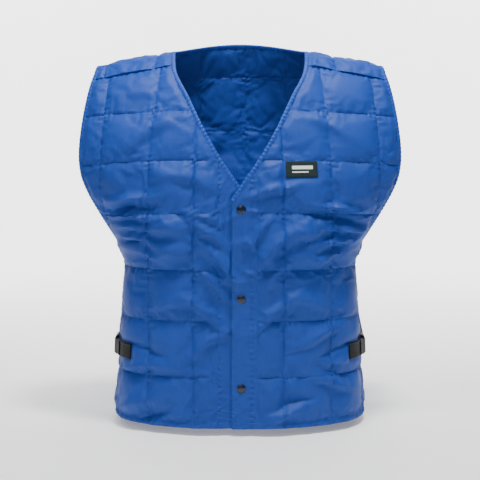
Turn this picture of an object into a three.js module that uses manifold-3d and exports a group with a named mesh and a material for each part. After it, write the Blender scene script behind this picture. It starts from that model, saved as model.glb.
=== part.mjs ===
// A quilted cooling vest as it is worn: two fronts and a back of padded cloth, lapped plackets
// with three snap fasteners, bound neck and armholes, a woven label and a cinch strap with a
// ladder buckle at each side.
//
// Millimetres, +Z up. The front faces -Y and the wearer's left is +X. The origin lies between the
// two neck points, on the crest of the shoulders.
//
// Every cloth piece is drawn on one chart of the worn form. Its coordinate s is the distance from
// the centre plane along the cloth, positive towards +X. Its coordinate g climbs the front from
// the hem (0) over the start of the chest's slope (1) to the crest of the shoulder (2), and goes
// down the back over the same slope (3) to the hem (4).

import * as THREE from "three";
import { mergeVertices } from "three/addons/utils/BufferGeometryUtils.js";
import Module from "manifold-3d";

const wasm = await Module();
wasm.setup();

// Driving dimensions of the worn form
const LENGTH = 593; // neck point down to the hem
const HALF_WIDTH = 258; // centre plane to the widest point of an armhole
const FRONT_DEPTH = 128; // shoulder line forward to the fullest part of the front
const BACK_DEPTH = 122; // shoulder line back to the fullest part of the back
const NECK_HALF = 105; // centre plane to a neck point
const SHOULDER_DROP = 24; // neck point down to the shoulder tip
const NECK_RISE = 64; // how far the form would rise inside the neck, above the shoulders' slope
const CREST_BACK = 5; // how far behind the origin the shoulder's crest lies
const NECK_LEAN = 20; // how much further back the crest line runs behind the neck
const SIDE_SAG = 11; // how far the quilting rows fall towards the armholes

// Cloth and trim
const SEAM_WALL = 2.2; // both layers of cloth, pressed together at a seam
const PUFF_OUT = 2.6; // padding's rise outwards in the middle of a quilted cell
const PUFF_IN = 1.4; // padding's rise inwards
const SEAM_GAP = 0.6; // clearance between two pieces that are sewn together
const REST_GAP = 0.3; // clearance under a piece that lies on the cloth
const BINDING_WIDTH = 7;
const BINDING_WALL = 4.2;
const PLACKET_WALL = 2.4;
const OVERLAP = 13; // centre line to the front edge of the upper placket
const UNDERLAP = 16; // centre line to the hidden edge of the lower placket
const PLACKET_SEAM = 27; // centre line to the seam of the upper placket
const UNDER_SEAM = 34; // centre line to the seam of the lower placket
const LAP_DEPTH = 5.6; // upper placket's middle to the lower placket's middle
const HEM_TURN = 9; // height of the turned hem, which has no padding

// Snap fasteners
const SNAP_COUNT = 3;
const SNAP_OFFSET = 2; // snaps' line, from the centre plane
const SNAP_RADIUS = 7.5;
const SNAP_RISE = 2.3;
const SNAP_TOP = 15; // placket's upper corner down to the first snap
const SNAP_BOTTOM = 65; // hem up to the last snap

// Label
const LABEL_WIDTH = 53;
const LABEL_HEIGHT = 24;
const LABEL_WALL = 0.9;
const LABEL_START = 74; // centre plane to the label's inner edge, along the cloth
const LABEL_BELOW_ROW = 3; // clearance under the quilting row above it

// Cinch straps
const WEB_WIDTH = 25;
const WEB_WALL = 1.5;
const STRAP_DOWN = 480; // neck point down to the strap's middle
const STRAP_FRONT_REACH = 74; // side seam to the strap's sewn end on the front
const STRAP_BACK_REACH = 92; // side seam to its sewn end on the back
const BUCKLE_LENGTH = 28;
const BUCKLE_HEIGHT = 32;
const BAR = 3; // section of each bar of the buckle
const TAIL = 62; // side seam to the strap's free end, behind the buckle
const TAIL_RISE = { left: 44, right: 4 }; // how far each free end stands up
const TAIL_DROP = { left: 5, right: 12 }; // how far it bends towards the cloth

// The form's sections, from the shoulders down. Heights are shares of the length, half widths are
// shares of the half width, and depths are shares of the front's and the back's depth.
const SECTIONS = [
  { down: 0.04, half: 0.9, front: 0.93, back: 0.96 },
  { down: 0.1, half: 0.945, front: 0.94, back: 0.98 },
  { down: 0.18, half: 0.982, front: 0.96, back: 1.0 },
  { down: 0.255, half: 1.0, front: 0.98, back: 1.0 },
  { down: 0.31, half: 0.988, front: 0.99, back: 0.98 },
  { down: 0.36, half: 0.946, front: 1.0, back: 0.97 },
  { down: 0.43, half: 0.862, front: 1.0, back: 0.94 },
  { down: 0.5, half: 0.782, front: 0.98, back: 0.9 },
  { down: 0.565, half: 0.733, front: 0.95, back: 0.86 },
  { down: 0.66, half: 0.741, front: 0.93, back: 0.82 },
  { down: 0.75, half: 0.758, front: 0.94, back: 0.84 },
  { down: 0.88, half: 0.772, front: 0.97, back: 0.9 },
  { down: 1.0, half: 0.798, front: 1.0, back: 0.95 },
];
const ROUNDNESS = 2.3; // exponent of each section: 2 is an ellipse, more is squarer
const ARCH_DOWN = 0.565; // share of the length at which the chest starts to slope back
const ARCH_SHAPE = {
  front: { rise: 2.2, spread: 1.9 }, // exponents of the slope from there up to the crest
  back: { rise: 2.6, spread: 2.2 },
};
const SAG_PEAK = 0.37; // share of the length at which the rows sag most
const SAG_REACH = 0.36; // share of the length over which the sag fades, each way

// The armhole, as shares: how far down it ends, and how far it opens of each section's depth.
const UNDERARM_DOWN = 0.494;
const ARMHOLE_OPEN = 0.5;

// The neck opening on the front, from the shoulder down to the placket's upper corner.
const NECKLINE = [
  { down: 0.0, half: 0.407 },
  { down: 0.056, half: 0.388 },
  { down: 0.113, half: 0.317 },
  { down: 0.209, half: 0.207 },
  { down: 0.278, half: 0.114 },
  { down: 0.344, half: 0.008 },
  { down: 0.387, half: -0.058 },
];
const BACK_NECK_RISE = 14; // neck points up to the middle of the back neckline
const BACK_NECK_SHAPE = 1.12; // exponent of the arch that it makes
const SHOULDER_SEAM_DOWN = 33; // neck points down to the shoulder seam, on the front
const SHOULDER_SEAM_AT = 0.66; // share of the half width at which that is measured

// Quilting. Rows are heights as shares of the length, lines are distances along the cloth as
// shares of the half width.
const FRONT_ROWS = [0.862, 0.712, 0.575, 0.422, 0.283, 0.155];
const BACK_ROWS = [0.069, 0.224, 0.379, 0.534, 0.69, 0.845];
const RIGHT_LINES = [0.29, 0.585, 0.915, 1.23];
const LEFT_LINES = [0.271, 0.585, 0.915, 1.23];
const BACK_LINES = [-1.282, -0.953, -0.624, -0.295, 0.035, 0.364, 0.694, 1.023, 1.35];
const STEPS_UP = 4; // mesh steps up one quilted cell
const STEPS_ACROSS = { front: 4, back: 3 }; // mesh steps across one

// Drag folds and dents that are wide enough for the solid: where they lie, how long and broad
// they are as shares of the length, how far they stand out, and how they slant.
const FOLDS = [
  { piece: "left", across: 0.13, down: 0.49, length: 0.13, breadth: 0.028, height: 3.2, slant: -56 },
  { piece: "left", across: 0.27, down: 0.345, length: 0.1, breadth: 0.025, height: -2.6, slant: 14 },
  { piece: "left", across: 0.75, down: 0.43, length: 0.12, breadth: 0.022, height: 3.4, slant: 3 },
  { piece: "left", across: 0.35, down: 0.93, length: 0.1, breadth: 0.035, height: -3.0, slant: 8 },
  { piece: "right", across: -0.14, down: 0.5, length: 0.13, breadth: 0.028, height: 3.2, slant: 54 },
  { piece: "right", across: -0.78, down: 0.41, length: 0.12, breadth: 0.022, height: 3.4, slant: -4 },
  { piece: "right", across: -0.74, down: 0.47, length: 0.12, breadth: 0.022, height: -3.2, slant: 6 },
  { piece: "right", across: -0.6, down: 0.95, length: 0.09, breadth: 0.035, height: 2.6, slant: 20 },
  { piece: "back", across: -0.3, down: 0.66, length: 0.16, breadth: 0.04, height: 3.2, slant: 18 },
  { piece: "back", across: 0.32, down: 0.7, length: 0.16, breadth: 0.04, height: 3.0, slant: -16 },
  { piece: "back", across: 0.0, down: 0.9, length: 0.18, breadth: 0.045, height: -2.6, slant: 2 },
];

const CURVE_STEPS = 96; // samples along one row of the chart
const EDGE_STEPS = 240; // samples along a neckline or armhole before it is spaced out
const PADDING_FADE = 13; // width over which the padding thins towards an edge
const HEM = -LENGTH;
const ARCH = -LENGTH * ARCH_DOWN;
const TIP_HALF = HALF_WIDTH * SECTIONS[0].half;
const SHOULDER_SLOPE = SHOULDER_DROP / (TIP_HALF - NECK_HALF);

const clamp = THREE.MathUtils.clamp;
const lerp = THREE.MathUtils.lerp;
const smooth = (t) => THREE.MathUtils.smoothstep(t, 0, 1);

// A smooth curve through two columns of a table, as a function of the first.
function through(table, from, to) {
  const x = table.map((row) => row[from]);
  const y = table.map((row) => row[to]);
  const last = x.length - 1;
  const slope = x.map((_, i) => {
    const a = Math.max(i - 1, 0);
    const b = Math.min(i + 1, last);
    return (y[b] - y[a]) / (x[b] - x[a]);
  });
  return (at) => {
    const place = clamp(at, x[0], x[last]);
    let i = 0;
    while (i < last - 1 && place > x[i + 1]) i += 1;
    const span = x[i + 1] - x[i];
    const t = (place - x[i]) / span;
    const rest = 1 - t;
    const ends = y[i] * rest * rest * (1 + 2 * t) + y[i + 1] * t * t * (3 - 2 * t);
    return ends + span * t * rest * (slope[i] * rest - slope[i + 1] * t);
  };
}

// Straight interpolation in two matching lists, the first one rising.
function between(from, to, at) {
  let low = 0;
  let high = from.length - 1;
  if (at <= from[low]) return to[low];
  if (at >= from[high]) return to[high];
  while (high - low > 1) {
    const middle = (low + high) >> 1;
    if (from[middle] <= at) low = middle;
    else high = middle;
  }
  return lerp(to[low], to[high], (at - from[low]) / (from[high] - from[low]));
}

const halfWidth = through(SECTIONS, "down", "half");
const frontDepth = through(SECTIONS, "down", "front");
const backDepth = through(SECTIONS, "down", "back");
const necklineHalf = through(NECKLINE, "down", "half");

// Share of a section's depth by which the armhole stands open at a height.
function armholeOpening(z) {
  const tip = -SHOULDER_DROP;
  const t = clamp((tip - z) / (tip + UNDERARM_DOWN * LENGTH), 0, 1);
  return ARMHOLE_OPEN * Math.sqrt(1 - t ** 3);
}

// Height of the shoulders' crest at a distance from the centre plane.
function crestHeight(x) {
  const t = Math.abs(x) / NECK_HALF;
  if (t >= 1) return -SHOULDER_SLOPE * (Math.abs(x) - NECK_HALF);
  const dome = 1 - t * t;
  return (SHOULDER_SLOPE * NECK_HALF * dome) / 2 + NECK_RISE * dome ** 1.75;
}

function crestDepth(x) {
  const dome = Math.max(0, 1 - (x / NECK_HALF) ** 2);
  return CREST_BACK + NECK_LEAN * dome * dome;
}

// How a level of the chart lies: its side, its rise towards the crest and what is left of its depth.
function levelShape(g) {
  const back = g > 2;
  const level = back ? 4 - g : g;
  const turn = (clamp(level - 1, 0, 1) * Math.PI) / 2;
  const shape = back ? ARCH_SHAPE.back : ARCH_SHAPE.front;
  const rise = Math.sin(turn) ** (2 / shape.rise);
  const spread = Math.max(Math.cos(turn), 0) ** (2 / shape.spread);
  const z = level <= 1 ? lerp(HEM, ARCH, level) : lerp(ARCH, crestHeight(TIP_HALF), rise);
  return { back, level, rise, spread, z };
}

// The chart's level at a height, on the line that lies x from the centre plane.
function levelAt(z, x, back) {
  let level = (z - HEM) / (ARCH - HEM);
  if (z > ARCH) {
    const rise = clamp((z - ARCH) / (crestHeight(x) - ARCH), 0, 1);
    const shape = back ? ARCH_SHAPE.back : ARCH_SHAPE.front;
    level = 1 + Math.asin(rise ** (shape.rise / 2)) / (Math.PI / 2);
  }
  return back ? 4 - level : level;
}

// One row of the chart from the centre plane to the side: points and their distance along it.
const rowCache = new Map();
function chartRow(g) {
  const key = Math.round(g * 1e7);
  if (rowCache.has(key)) return rowCache.get(key);
  const { back, level, rise, spread, z } = levelShape(g);
  const down = -z / LENGTH;
  const open = armholeOpening(z);
  const edgeShare = (1 - open ** ROUNDNESS) ** (1 / ROUNDNESS);
  const half = (halfWidth(down) * HALF_WIDTH) / edgeShare;
  const depth = back ? BACK_DEPTH * backDepth(down) : -FRONT_DEPTH * frontDepth(down);
  const sag = SIDE_SAG * smooth(1 - Math.abs(down - SAG_PEAK) / SAG_REACH);
  const row = { x: [], y: [], z: [], s: [], edge: Math.acos(open ** (ROUNDNESS / 2)) };
  for (let i = 0; i <= CURVE_STEPS; i += 1) {
    const angle = ((Math.PI / 2) * i) / CURVE_STEPS;
    const sideways = Math.sin(angle) ** (2 / ROUNDNESS);
    const x = half * sideways;
    const y = crestDepth(x) * (1 - spread) + depth * spread * Math.cos(angle) ** (2 / ROUNDNESS);
    const height = level <= 1 ? z : lerp(ARCH, crestHeight(x), rise);
    row.x.push(x);
    row.y.push(y);
    row.z.push(height - sag * sideways ** 2.5);
    const step = i ? Math.hypot(x - row.x[i - 1], y - row.y[i - 1], row.z[i] - row.z[i - 1]) : 0;
    row.s.push(i ? row.s[i - 1] + step : 0);
  }
  row.side = row.s[CURVE_STEPS];
  row.angles = row.s.map((_, i) => ((Math.PI / 2) * i) / CURVE_STEPS);
  rowCache.set(key, row);
  return row;
}

// The point of the form at a place on the chart.
function onForm(s, g) {
  const row = chartRow(g);
  const along = Math.abs(s);
  const x = between(row.s, row.x, along);
  return new THREE.Vector3(s < 0 ? -x : x, between(row.s, row.y, along), between(row.s, row.z, along));
}

// The two directions of the chart at a place, per millimetre of s and per unit of g.
const STEP_S = 2;
const STEP_G = 0.012;
function chartFrame(s, g) {
  const limit = chartRow(g).side;
  const middle = clamp(s, STEP_S - limit, limit - STEP_S);
  const s0 = middle - STEP_S;
  const s1 = middle + STEP_S;
  const g0 = Math.max(g - STEP_G, 0);
  const g1 = Math.min(g + STEP_G, 4);
  const share = clamp(s / limit, -1, 1);
  const across = onForm(s1, g).sub(onForm(s0, g)).divideScalar(s1 - s0);
  const clampedS = (level) => clamp(s, -chartRow(level).side, chartRow(level).side);
  const edge = Math.abs(share) > 0.97;
  const at = (level) => onForm(edge ? share * chartRow(level).side : clampedS(level), level);
  const along = at(g1).sub(at(g0)).divideScalar(g1 - g0);
  const normal = new THREE.Vector3().crossVectors(across, along).normalize();
  return { across, along, normal };
}

// A place on the chart, moved by a distance in the cloth, square to a direction along an edge.
function stepInwards(place, ahead, distance) {
  const { across, along, normal } = chartFrame(place.s, place.g);
  const tangent = across.clone().multiplyScalar(ahead.s).addScaledVector(along, ahead.g).normalize();
  const aim = new THREE.Vector3().crossVectors(normal, tangent).multiplyScalar(distance);
  const aa = across.dot(across);
  const ab = across.dot(along);
  const bb = along.dot(along);
  const pa = aim.dot(across);
  const pb = aim.dot(along);
  const area = aa * bb - ab * ab;
  return { s: place.s + (pa * bb - pb * ab) / area, g: place.g + (pb * aa - pa * ab) / area };
}

// Places in a list that lie evenly spaced along its edge, as fractions of its numbering.
function spacedOut(places, count) {
  const points = places.map(({ s, g }) => onForm(s, g));
  const run = [0];
  for (let i = 1; i < points.length; i += 1) run.push(run[i - 1] + points[i].distanceTo(points[i - 1]));
  const order = places.map((_, i) => i);
  return Array.from({ length: count + 1 }, (_, i) => between(run, order, (run[run.length - 1] * i) / count));
}

function movedInwards(places, distance) {
  return places.map((place, i) => {
    const before = places[Math.max(i - 1, 0)];
    const after = places[Math.min(i + 1, places.length - 1)];
    return stepInwards(place, { s: after.s - before.s, g: after.g - before.g }, distance);
  });
}

// The levels that the pieces share
const SEAM_LEVEL = levelAt(-SHOULDER_SEAM_DOWN, SHOULDER_SEAM_AT * HALF_WIDTH, false);
const BACK_NECK_LEVEL = levelAt(BACK_NECK_RISE, 0, true);
const CORNER_DOWN = NECKLINE[NECKLINE.length - 1].down;

// Distance along a row at which the cloth reaches a half width from the centre plane.
function alongTo(g, half) {
  const row = chartRow(g);
  return Math.sign(half) * between(row.x, row.s, Math.abs(half));
}

// The finished neckline on the +X half, from the middle of the back over the shoulder and down
// the front to the placket. The table gives the front; the back is one curve to the crest.
function necklinePlaces() {
  const places = [];
  for (let i = 0; i <= EDGE_STEPS; i += 1) {
    const share = Math.sin(((Math.PI / 2) * i) / EDGE_STEPS);
    const half = share * Math.min(NECKLINE[0].half * HALF_WIDTH, NECK_HALF);
    const z = BACK_NECK_RISE * (1 - share * share) ** BACK_NECK_SHAPE;
    const g = i < EDGE_STEPS ? levelAt(z, half, true) : 2;
    places.push({ s: alongTo(g, half), g });
  }
  for (let i = 1; i <= EDGE_STEPS; i += 1) {
    const down = (CORNER_DOWN * i) / EDGE_STEPS;
    const half = necklineHalf(down) * HALF_WIDTH;
    const g = levelAt(Math.min(-down * LENGTH, crestHeight(half)), half, false);
    places.push({ s: alongTo(g, half), g });
  }
  return places;
}

// The finished armhole on the +X side, from the underarm up the front, over the tip and down the
// back to the underarm.
function armholePlaces() {
  const under = -UNDERARM_DOWN * LENGTH;
  const tip = -SHOULDER_DROP;
  const half = (back) =>
    Array.from({ length: EDGE_STEPS + 1 }, (_, i) => {
      const alpha = ((Math.PI / 2) * i) / EDGE_STEPS;
      const t = Math.cos(alpha) ** (2 / 3);
      const z = lerp(tip, under, t);
      const g = levelAt(z, TIP_HALF, back);
      const row = chartRow(g);
      return { s: between(row.angles, row.s, row.edge), g };
    });
  return [...half(false), ...half(true).reverse().slice(1)];
}

const mirrored = (places) => places.map(({ s, g }) => ({ s: -s, g }));

const neckline = necklinePlaces();
const armhole = armholePlaces();
const neckPanelEdge = movedInwards(neckline, BINDING_WIDTH + SEAM_GAP);
const armholePanelEdge = movedInwards(armhole, BINDING_WIDTH + SEAM_GAP);

// A stretch of an edge, from its lowest level to its highest, and its place at a level.
function risingEdge(places) {
  const sorted = [...places].sort((a, b) => a.g - b.g);
  return { g: sorted.map((p) => p.g), s: sorted.map((p) => p.s), low: sorted[0].g };
}
const crossing = (edge, g) => between(edge.g, edge.s, g);
const armholeFront = risingEdge(armholePanelEdge.slice(0, EDGE_STEPS + 1));
const armholeBack = risingEdge(armholePanelEdge.slice(EDGE_STEPS));
const neckFront = risingEdge(neckPanelEdge.slice(EDGE_STEPS));
const neckBack = risingEdge(neckPanelEdge.slice(0, EDGE_STEPS + 1));
const UNDERARM_FRONT = armholeFront.low;
const UNDERARM_BACK = armholeBack.g[armholeBack.g.length - 1];

// Half of a panel's outline: the distance from the centre plane to the side seam or the armhole.
function outerEdge(g) {
  const seam = chartRow(g).side - SEAM_GAP / 2;
  const below = g > 2 ? g >= UNDERARM_BACK : g <= UNDERARM_FRONT;
  return below ? seam : Math.min(crossing(g > 2 ? armholeBack : armholeFront, g), seam);
}

// How a point of a quilted panel lies in its cell: 0 on a seam, 1 in the middle.
function cellShare(lines, at) {
  let i = 0;
  while (i < lines.length - 2 && at > lines[i + 1]) i += 1;
  const t = clamp((at - lines[i]) / (lines[i + 1] - lines[i]), 0, 1);
  return 1 - Math.abs(2 * t - 1) ** 3;
}

function foldRise(piece, s, g) {
  const z = levelShape(g).z;
  return FOLDS.filter((fold) => fold.piece === piece).reduce((sum, fold) => {
    const slant = THREE.MathUtils.degToRad(fold.slant);
    const across = s - fold.across * HALF_WIDTH;
    const up = z + fold.down * LENGTH;
    const along = across * Math.cos(slant) + up * Math.sin(slant);
    const off = up * Math.cos(slant) - across * Math.sin(slant);
    const reach = (along / (fold.length * LENGTH)) ** 2 + (off / (fold.breadth * LENGTH)) ** 2;
    return sum + fold.height * Math.exp(-reach);
  }, 0);
}

// The lower placket and the front that carries it sink behind the upper one near the centre.
const lapSink = (s) => LAP_DEPTH * smooth((s + 2.4 * UNDER_SEAM) / (2.4 * UNDER_SEAM - OVERLAP));

// A piece of cloth as a closed solid: an outer and an inner skin on the chart, joined at its edges.
class Sheet {
  constructor() {
    this.outer = [];
    this.inner = [];
    this.faces = [];
  }

  // Adds a point with the distance of each skin from the form, and returns its number.
  point(s, g, out, inwards) {
    const { normal } = chartFrame(s, g);
    const base = onForm(s, g);
    this.outer.push(base.clone().addScaledVector(normal, out));
    this.inner.push(base.clone().addScaledVector(normal, inwards));
    return this.outer.length - 1;
  }

  // Fills the strip between two rows of point numbers, each a list of [s, number].
  strip(low, high) {
    let i = 0;
    let j = 0;
    while (i < low.length - 1 || j < high.length - 1) {
      const nextLow = i < low.length - 1 ? low[i + 1][0] : Infinity;
      const nextHigh = j < high.length - 1 ? high[j + 1][0] : Infinity;
      if (nextLow <= nextHigh) {
        this.faces.push([low[i][1], low[i + 1][1], high[j][1]]);
        i += 1;
      } else {
        this.faces.push([low[i][1], high[j + 1][1], high[j][1]]);
        j += 1;
      }
    }
  }

  geometry() {
    const count = this.outer.length;
    const index = [];
    const open = new Map();
    for (const [a, b, c] of this.faces) {
      index.push(a, b, c, a + count, c + count, b + count);
      for (const [from, to] of [[a, b], [b, c], [c, a]]) {
        if (open.has(`${to}_${from}`)) open.delete(`${to}_${from}`);
        else open.set(`${from}_${to}`, [from, to]);
      }
    }
    for (const [from, to] of open.values()) {
      index.push(from, from + count, to, to, from + count, to + count);
    }
    const points = [...this.outer, ...this.inner];
    return new THREE.BufferGeometry().setFromPoints(points).setIndex(index);
  }
}

// The rows of a panel: each quilting row and the steps between, and closer ones where asked.
function panelLevels(rows, extra) {
  const levels = [];
  for (let i = 0; i < rows.length - 1; i += 1) {
    for (let k = 0; k < STEPS_UP; k += 1) levels.push(lerp(rows[i], rows[i + 1], k / STEPS_UP));
  }
  levels.push(rows[rows.length - 1]);
  const apart = levels.filter((g) => rows.includes(g) || extra.every((other) => Math.abs(other - g) > 0.02));
  const spare = extra.filter((g) => rows.every((row) => Math.abs(row - g) > 0.001));
  return [...apart, ...spare].sort((a, b) => a - b);
}

// The places along one row of a panel: its ends, each quilting line and the steps between.
function rowPlaces(lines, from, to, steps, clearance = 5) {
  const places = [from];
  for (let i = 0; i < lines.length - 1; i += 1) {
    for (let k = 0; k < steps; k += 1) {
      const s = lerp(lines[i], lines[i + 1], k / steps);
      if (s > from + clearance && s < to - clearance) places.push(s);
    }
  }
  places.push(to);
  return places;
}

// Fills a panel's quilted point: its skins stand apart by the seam's wall and the padding.
function quiltedPoint(sheet, piece, lines, rows, s, g, edgeDistance, sink) {
  const hemDistance = Math.min(Math.abs(g), Math.abs(4 - g)) * (ARCH - HEM);
  const hemFade = smooth((hemDistance - HEM_TURN) / PADDING_FADE);
  const fade = smooth(edgeDistance / PADDING_FADE) * hemFade;
  const puff = cellShare(lines, s) * cellShare(rows, g) * fade;
  const fold = foldRise(piece, s, g) * smooth(edgeDistance / (2 * PADDING_FADE)) * hemFade;
  const middle = fold - sink;
  const skin = SEAM_WALL / 2;
  return sheet.point(s, g, middle + skin + PUFF_OUT * puff, middle - skin - PUFF_IN * puff);
}

const FRONT_LEVELS = FRONT_ROWS.map((down) => levelAt(-down * LENGTH, NECK_HALF, false));
const BACK_LEVELS = BACK_ROWS.map((down) => levelAt(-down * LENGTH, 0, true));
const UNDERARM_STEPS = [0, 0.0017, 0.007, 0.0157, 0.028, 0.045, 0.08];

// One front. Side is 1 for the wearer's left, which laps over, and -1 for the wearer's right.
function frontPanel(side) {
  const piece = side > 0 ? "left" : "right";
  const seam = (side > 0 ? PLACKET_SEAM : UNDER_SEAM) + SEAM_GAP;
  const shares = side > 0 ? LEFT_LINES : RIGHT_LINES;
  const lines = [seam, ...shares.map((share) => share * HALF_WIDTH)];
  const rows = [0, ...FRONT_LEVELS, SEAM_LEVEL - SEAM_GAP / (2 * (ARCH - HEM))];
  const levels = panelLevels(rows, UNDERARM_STEPS.map((step) => UNDERARM_FRONT + step));
  const sheet = new Sheet();
  let before = null;
  for (const g of levels) {
    const innerEdge = Math.max(seam, neckEdgeAt(g));
    const to = outerEdge(g);
    const row = rowPlaces(lines, innerEdge, to, STEPS_ACROSS.front).map((along) => {
      const s = side * along;
      const edge = Math.min(along - innerEdge, to - along);
      const sink = side > 0 ? 0 : lapSink(s);
      return [s, quiltedPoint(sheet, piece, side > 0 ? lines : mirroredLines(lines), rows, s, g, edge, sink)];
    });
    if (side < 0) row.reverse();
    if (before) sheet.strip(before, row);
    before = row;
  }
  return sheet.geometry();
}

const mirroredLines = (lines) => lines.map((s) => -s).reverse();

// The neck edge of a front panel or placket at a level, or far inside where the level is below it.
function neckEdgeAt(g) {
  return g < neckFront.low ? -HALF_WIDTH : crossing(neckFront, g);
}

const STRAP_STEPS = 14; // mesh steps along half of the back neckline

// The back: full rows up to the neckline, and above them a strap over each shoulder.
function backPanel() {
  const lines = BACK_LINES.map((share) => share * HALF_WIDTH);
  const neckBottom = neckBack.g[neckBack.g.length - 1];
  const start = SEAM_LEVEL + SEAM_GAP / (2 * (ARCH - HEM));
  const rows = [start - 0.35, 2.12, ...BACK_LEVELS, 4];
  const underarm = UNDERARM_STEPS.map((step) => UNDERARM_BACK - step);
  const neckArc = neckPanelEdge.slice(0, EDGE_STEPS + 1);
  const strapSteps = spacedOut(neckArc, STRAP_STEPS)
    .slice(1, -1)
    .map((at) => neckArc[Math.round(at)].g)
    .reverse();
  const crestSteps = [0, 0.35, 0.7, 1].map((t) => lerp(start, 2, t));
  const quilted = panelLevels([neckBottom, ...BACK_LEVELS.filter((g) => g > neckBottom), 4], underarm);
  const sheet = new Sheet();
  const point = (s, g, edge) => [s, quiltedPoint(sheet, "back", lines, rows, s, g, edge, 0)];
  const fromNeck = (s, g) => Math.hypot(Math.max(Math.abs(s) - NECK_HALF / 3, 0), (g - neckBottom) * (ARCH - HEM));
  let left = null;
  let right = null;
  for (const g of [...crestSteps, ...strapSteps]) {
    const from = g < 2 ? crossing(neckFront, g) : crossing(neckBack, g);
    const to = outerEdge(g);
    const inner = rowPlaces(lines, from, to, STEPS_ACROSS.back).map((s) => point(s, g, Math.min(s - from, to - s)));
    const other = rowPlaces(lines, -to, -from, STEPS_ACROSS.back).map((s) => point(s, g, Math.min(to + s, -from - s)));
    if (left) sheet.strip(left, other);
    if (right) sheet.strip(right, inner);
    left = other;
    right = inner;
  }
  let before = null;
  for (const g of quilted) {
    const to = outerEdge(g);
    const top = g === quilted[0];
    const places = rowPlaces(lines, -to, to, STEPS_ACROSS.back);
    if (top) places.push(0);
    const row = places.sort((a, b) => a - b).map((s) => point(s, g, Math.min(to - Math.abs(s), fromNeck(s, g))));
    if (top) {
      const middle = row.findIndex(([s]) => s === 0);
      sheet.strip(left, row.slice(0, middle + 1));
      sheet.strip(right, row.slice(middle));
    } else {
      sheet.strip(before, row);
    }
    before = row;
  }
  return sheet.geometry();
}

// A placket: plain doubled cloth from the hem up to the neckline.
function placket(from, to, sink, side) {
  const sheet = new Sheet();
  const neckEdge = (g) => (side > 0 ? neckEdgeAt(g) : -neckEdgeAt(g));
  const top = neckPlaceAt(side > 0 ? to - 4 : -from - 4);
  const levels = panelLevels([0, ...FRONT_LEVELS.filter((level) => level < top - 0.02), top], [neckFront.low]);
  let before = null;
  for (const g of levels.filter((level) => level <= top)) {
    const low = side > 0 ? Math.max(from, neckEdge(g)) : from;
    const high = side > 0 ? to : Math.min(to, neckEdge(g));
    const row = [0, 1 / 3, 2 / 3, 1].map((t) => {
      const s = lerp(low, high, t);
      const middle = -(sink ? lapSink(s) : 0);
      return [s, sheet.point(s, g, middle + PLACKET_WALL / 2, middle - PLACKET_WALL / 2)];
    });
    if (before) sheet.strip(before, row);
    before = row;
  }
  return sheet.geometry();
}

// The level at which the neck edge of the panels comes as near to the centre as a distance.
function neckPlaceAt(distance) {
  return between(neckFront.s, neckFront.g, distance);
}

// A binding: a rounded band of cloth along a finished edge. Its lanes are drawn on the fine edge,
// and then taken at even spacing.
const BINDING_SECTION = [
  { across: 0.0, wall: 0.55 },
  { across: 0.3, wall: 1.0 },
  { across: 0.75, wall: 1.0 },
  { across: 1.0, wall: 0.7 },
];
function binding(places, count, inwards, sinkAt, closed) {
  const sheet = new Sheet();
  const lanes = BINDING_SECTION.map(({ across }) => movedInwards(places, inwards * BINDING_WIDTH * across));
  const picks = spacedOut(places, count);
  const rows = picks.map((at) => {
    const low = Math.min(Math.floor(at), places.length - 2);
    return lanes.map((lane, k) => {
      const s = lerp(lane[low].s, lane[low + 1].s, at - low);
      const g = lerp(lane[low].g, lane[low + 1].g, at - low);
      const half = (BINDING_WALL * BINDING_SECTION[k].wall) / 2;
      const sink = sinkAt(s, g, at);
      return sheet.point(s, g, half - sink, -half - sink);
    });
  });
  if (closed) rows[rows.length - 1] = rows[0];
  for (let i = 1; i < rows.length; i += 1) {
    for (let k = 1; k < lanes.length; k += 1) {
      const [a, b, c, d] = [rows[i - 1][k - 1], rows[i][k - 1], rows[i][k], rows[i - 1][k]];
      if (inwards > 0) sheet.faces.push([a, b, c], [a, c, d]);
      else sheet.faces.push([a, c, b], [a, d, c]);
    }
  }
  return sheet.geometry();
}

const material = (color, roughness, metalness = 0) => new THREE.MeshStandardMaterial({ color, roughness, metalness });
const cloth = material(0x2f62ab, 0.62);
const bindingCloth = material(0x3568b2, 0.6);
const webbing = material(0x141416, 0.8);
const plastic = material(0x101012, 0.42);
const labelCloth = material(0x1f3436, 0.7);
const snapMetal = material(0x2c4450, 0.3, 0.85);

const vest = new THREE.Group();
function add(name, geometry, finish) {
  const mesh = new THREE.Mesh(geometry, finish);
  mesh.name = name;
  vest.add(mesh);
  return mesh;
}

add("front_panel_right", frontPanel(-1), cloth);
add("front_panel_left", frontPanel(1), cloth);
add("back_panel", backPanel(), cloth);
add("placket_over", placket(-OVERLAP, PLACKET_SEAM, false, 1), cloth);
add("placket_under", placket(-UNDER_SEAM, UNDERLAP, true, -1), cloth);

const wholeNeckline = [...mirrored(neckline).reverse(), ...neckline.slice(1)];
const neckMiddle = neckline.length - 1;
const neckSink = (s, g, at) => (at < neckMiddle && g < 2 ? lapSink(s) : 0);
add("neck_binding", binding(wholeNeckline, 64, 1, neckSink, false), bindingCloth);
add("armhole_binding_left", binding(armhole, 40, 1, () => 0, true), bindingCloth);
add("armhole_binding_right", binding(mirrored(armhole), 40, -1, () => 0, true), bindingCloth);

// A turned piece from a profile of radius and height, on its axis.
function turned(profile, steps) {
  const points = profile.map(({ radius, height }) => new THREE.Vector2(radius, height));
  const shape = new THREE.LatheGeometry(points, steps);
  shape.deleteAttribute("normal");
  shape.deleteAttribute("uv");
  return mergeVertices(shape, 1e-4).rotateX(Math.PI / 2);
}

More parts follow.
